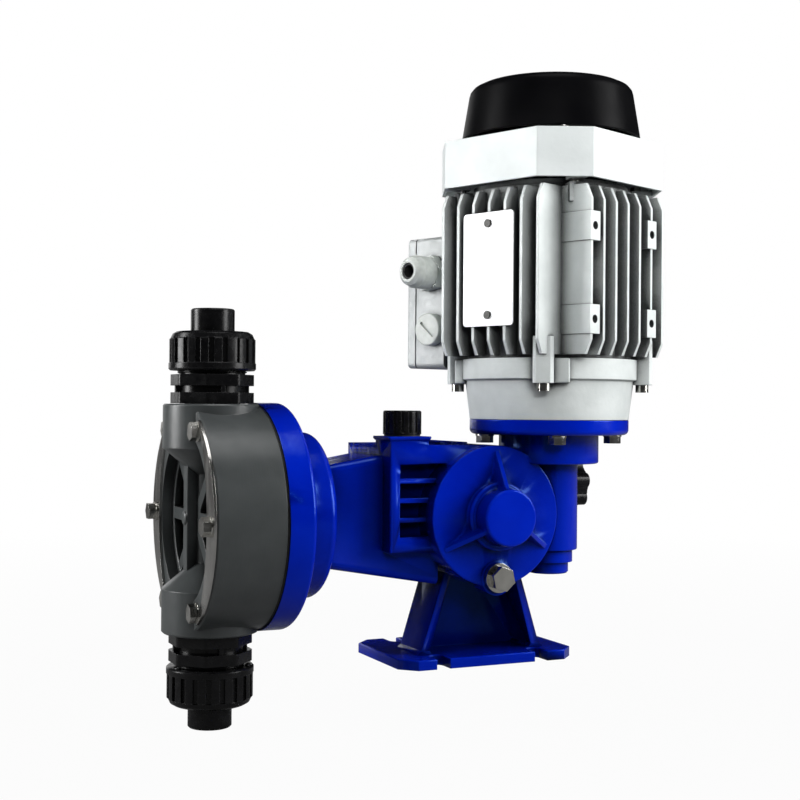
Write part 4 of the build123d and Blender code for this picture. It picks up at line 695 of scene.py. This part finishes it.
# %% Rib, boss and ledge of the head
head_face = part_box("head_plates")[1].x
ledge_floor = head_face + 0.007
rib_half_width, rib_half_length = 0.0042, 0.049
ledge_in, ledge_out = 0.0486, 0.0529
along_head = Matrix.Translation((0, 0, axis_z)) @ Matrix.Rotation(pi / 2, 4, "Y")
shape = bmesh.new()
bevel_block(shape, (head_face + 0.0006, -rib_half_width, axis_z - rib_half_length),
            (ledge_floor + 0.001, rib_half_width, axis_z + rib_half_length),
            Matrix.Identity(4), 0.0009)
turn_outline(shape, [(0, head_face - 0.0006), (0.0034, head_face - 0.0006), (0.0042, head_face),
                     (0.0042, head_face + 0.003), (0, head_face + 0.003)], along_head, 32)
turn_outline(shape, [(0.049, ledge_floor - 0.0002), (ledge_out, ledge_floor - 0.0002),
                     (ledge_out, ledge_floor + 0.004), (ledge_in, ledge_floor + 0.004),
                     (ledge_in, ledge_floor + 0.0002)], along_head, 96)
piece("head_front_rib", shape, "casing", grey)

# %% [markdown]
# ## Upright gussets on the casting
# Three gussets brace the round boss of the casting: one stands upright above it, and two slope down
# beside it. On the solid they are a twelfth of a turn too far round. So the casting is copied, the
# skin of the boss is freed from the flat face round it, turned, and the flat face is filled again.

# %% Free the boss from its flat face
boss_face_y = -0.050
shape = bmesh.new()
shape.from_mesh(nodes["gear_housing"].data)
bmesh.ops.remove_doubles(shape, verts=shape.verts, dist=weld)
flat = [face for face in shape.faces
        if all(abs(vert.co.y - boss_face_y) < 2 * weld for vert in face.verts)]
bmesh.ops.delete(shape, geom=flat, context="FACES")
rim = [edge for edge in shape.edges if len(edge.link_faces) == 1]
boss_foot = Vector((boss_mid.x, boss_face_y, axis_z))
start = min((vert for edge in rim for vert in edge.verts),
            key=lambda vert: (vert.co - boss_foot).length)
skin = connected([start])
print(len(flat), "flat faces off,", len(skin), "of", len(shape.verts), "points turn")

# %% Turn the gussets
gusset_turn = radians(30)
boss_axis = Matrix.Translation((boss_mid.x, 0, axis_z))
turn = boss_axis @ Matrix.Rotation(gusset_turn, 4, "Y") @ boss_axis.inverted()
bmesh.ops.transform(shape, matrix=turn, verts=skin)
filled = bmesh.ops.triangle_fill(shape, use_beauty=True, edges=rim, normal=(0, -1, 0))
for face in filled["geom"]:
    if isinstance(face, bmesh.types.BMFace) and face.normal.y > 0:
        face.normal_flip()
casting = piece("gear_casting", shape, "casing", blue, sharp=30)
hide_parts("gear_housing")

# %% [markdown]
# ## Shoulders beside the motor's lugs
# Below each corner of the motor the smooth corner column runs down beside the screw lug. It is a
# block with rounded edges, set a little back from the face of the lug.

# %% Shoulders
shield_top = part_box("end_shield")[1].z
lug_angle = 214.6
shape = bmesh.new()
for at_lug in quarters(lug_angle):
    bevel_block(shape, (0.0535, 0.0042, shield_top - 0.0158), (0.0612, 0.0162, shield_top - 0.0002),
                at_lug, 0.0012)
piece("rim_shoulders", shape, "casing", silver)

# %% [markdown]
# ## Threads and marks of the unions
# Between each nut and its collar a turn of the pipe's thread shows. A thread is a small section
# carried round a helix, and its height grows from nothing at both ends.

# %% Threads
def thread(shape, place, r, low, pitch, turns, height):
    """Adds a ridge that climbs round a pipe."""
    per_turn, lead_in = 48, 8
    steps = int(per_turn * turns)
    last = None
    for i in range(steps + 1):
        angle = 2 * pi * i / per_turn
        grown = min(1, i / lead_in, (steps - i) / lead_in) * height
        z = low + pitch * i / per_turn
        ring = []
        for dr, dz in ((-0.0004, -0.0008), (grown, -0.0002), (grown, 0.0002), (-0.0004, 0.0008)):
            spot = Vector(((r + dr) * cos(angle), (r + dr) * sin(angle), z + dz))
            ring.append(shape.verts.new(place @ spot))
        if last:
            for a, b in ((0, 1), (1, 2), (2, 3), (3, 0)):
                shape.faces.new((last[a], last[b], ring[b], ring[a]))
        else:
            shape.faces.new(ring)
        last = ring
    shape.faces.new(last)


for name, roll_over in (("discharge_thread", 0), ("suction_thread", pi)):
    port = Matrix.Translation((union_mid.x, 0, axis_z)) @ Matrix.Rotation(roll_over, 4, "X")
    shape = bmesh.new()
    thread(shape, port, r=0.0202, low=0.0888, pitch=0.0008, turns=1.9, height=0.0011)
    piece(name, shape, "casing", black)

# %% [markdown]
# Two small oval marks are moulded on the rim of the lower nut. Each is a closed ring of round
# section, stretched along the rim.

# %% Oval marks on the lower nut
nut_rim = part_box("suction_union_nut")[1].z
mark_ring = 0.0235
half_wide, half_long, half_high = 0.0013, 0.0026, 0.0007
long_steps, section_steps = 28, 8
shape = bmesh.new()
for side in (radians(196), radians(334)):
    spot = (Matrix.Translation((union_mid.x + mark_ring * cos(side), mark_ring * sin(side), nut_rim))
            @ Matrix.Rotation(side, 4, "Z"))
    rings = []
    for i in range(long_steps):
        around = 2 * pi * i / long_steps
        ring = []
        for j in range(section_steps):
            out = 2 * pi * j / section_steps
            r = 1 + 0.45 * cos(out)
            ring.append(shape.verts.new(spot @ Vector((
                half_wide * r * cos(around), half_long * r * sin(around),
                half_high * sin(out) + 0.0002))))
        rings.append(ring)
    for ring, after in zip(rings, rings[1:] + rings[:1]):
        for j in range(section_steps):
            k = (j + 1) % section_steps
            shape.faces.new((ring[j], ring[k], after[k], after[j]))
piece("nut_marks", shape, "suction_nut", black)
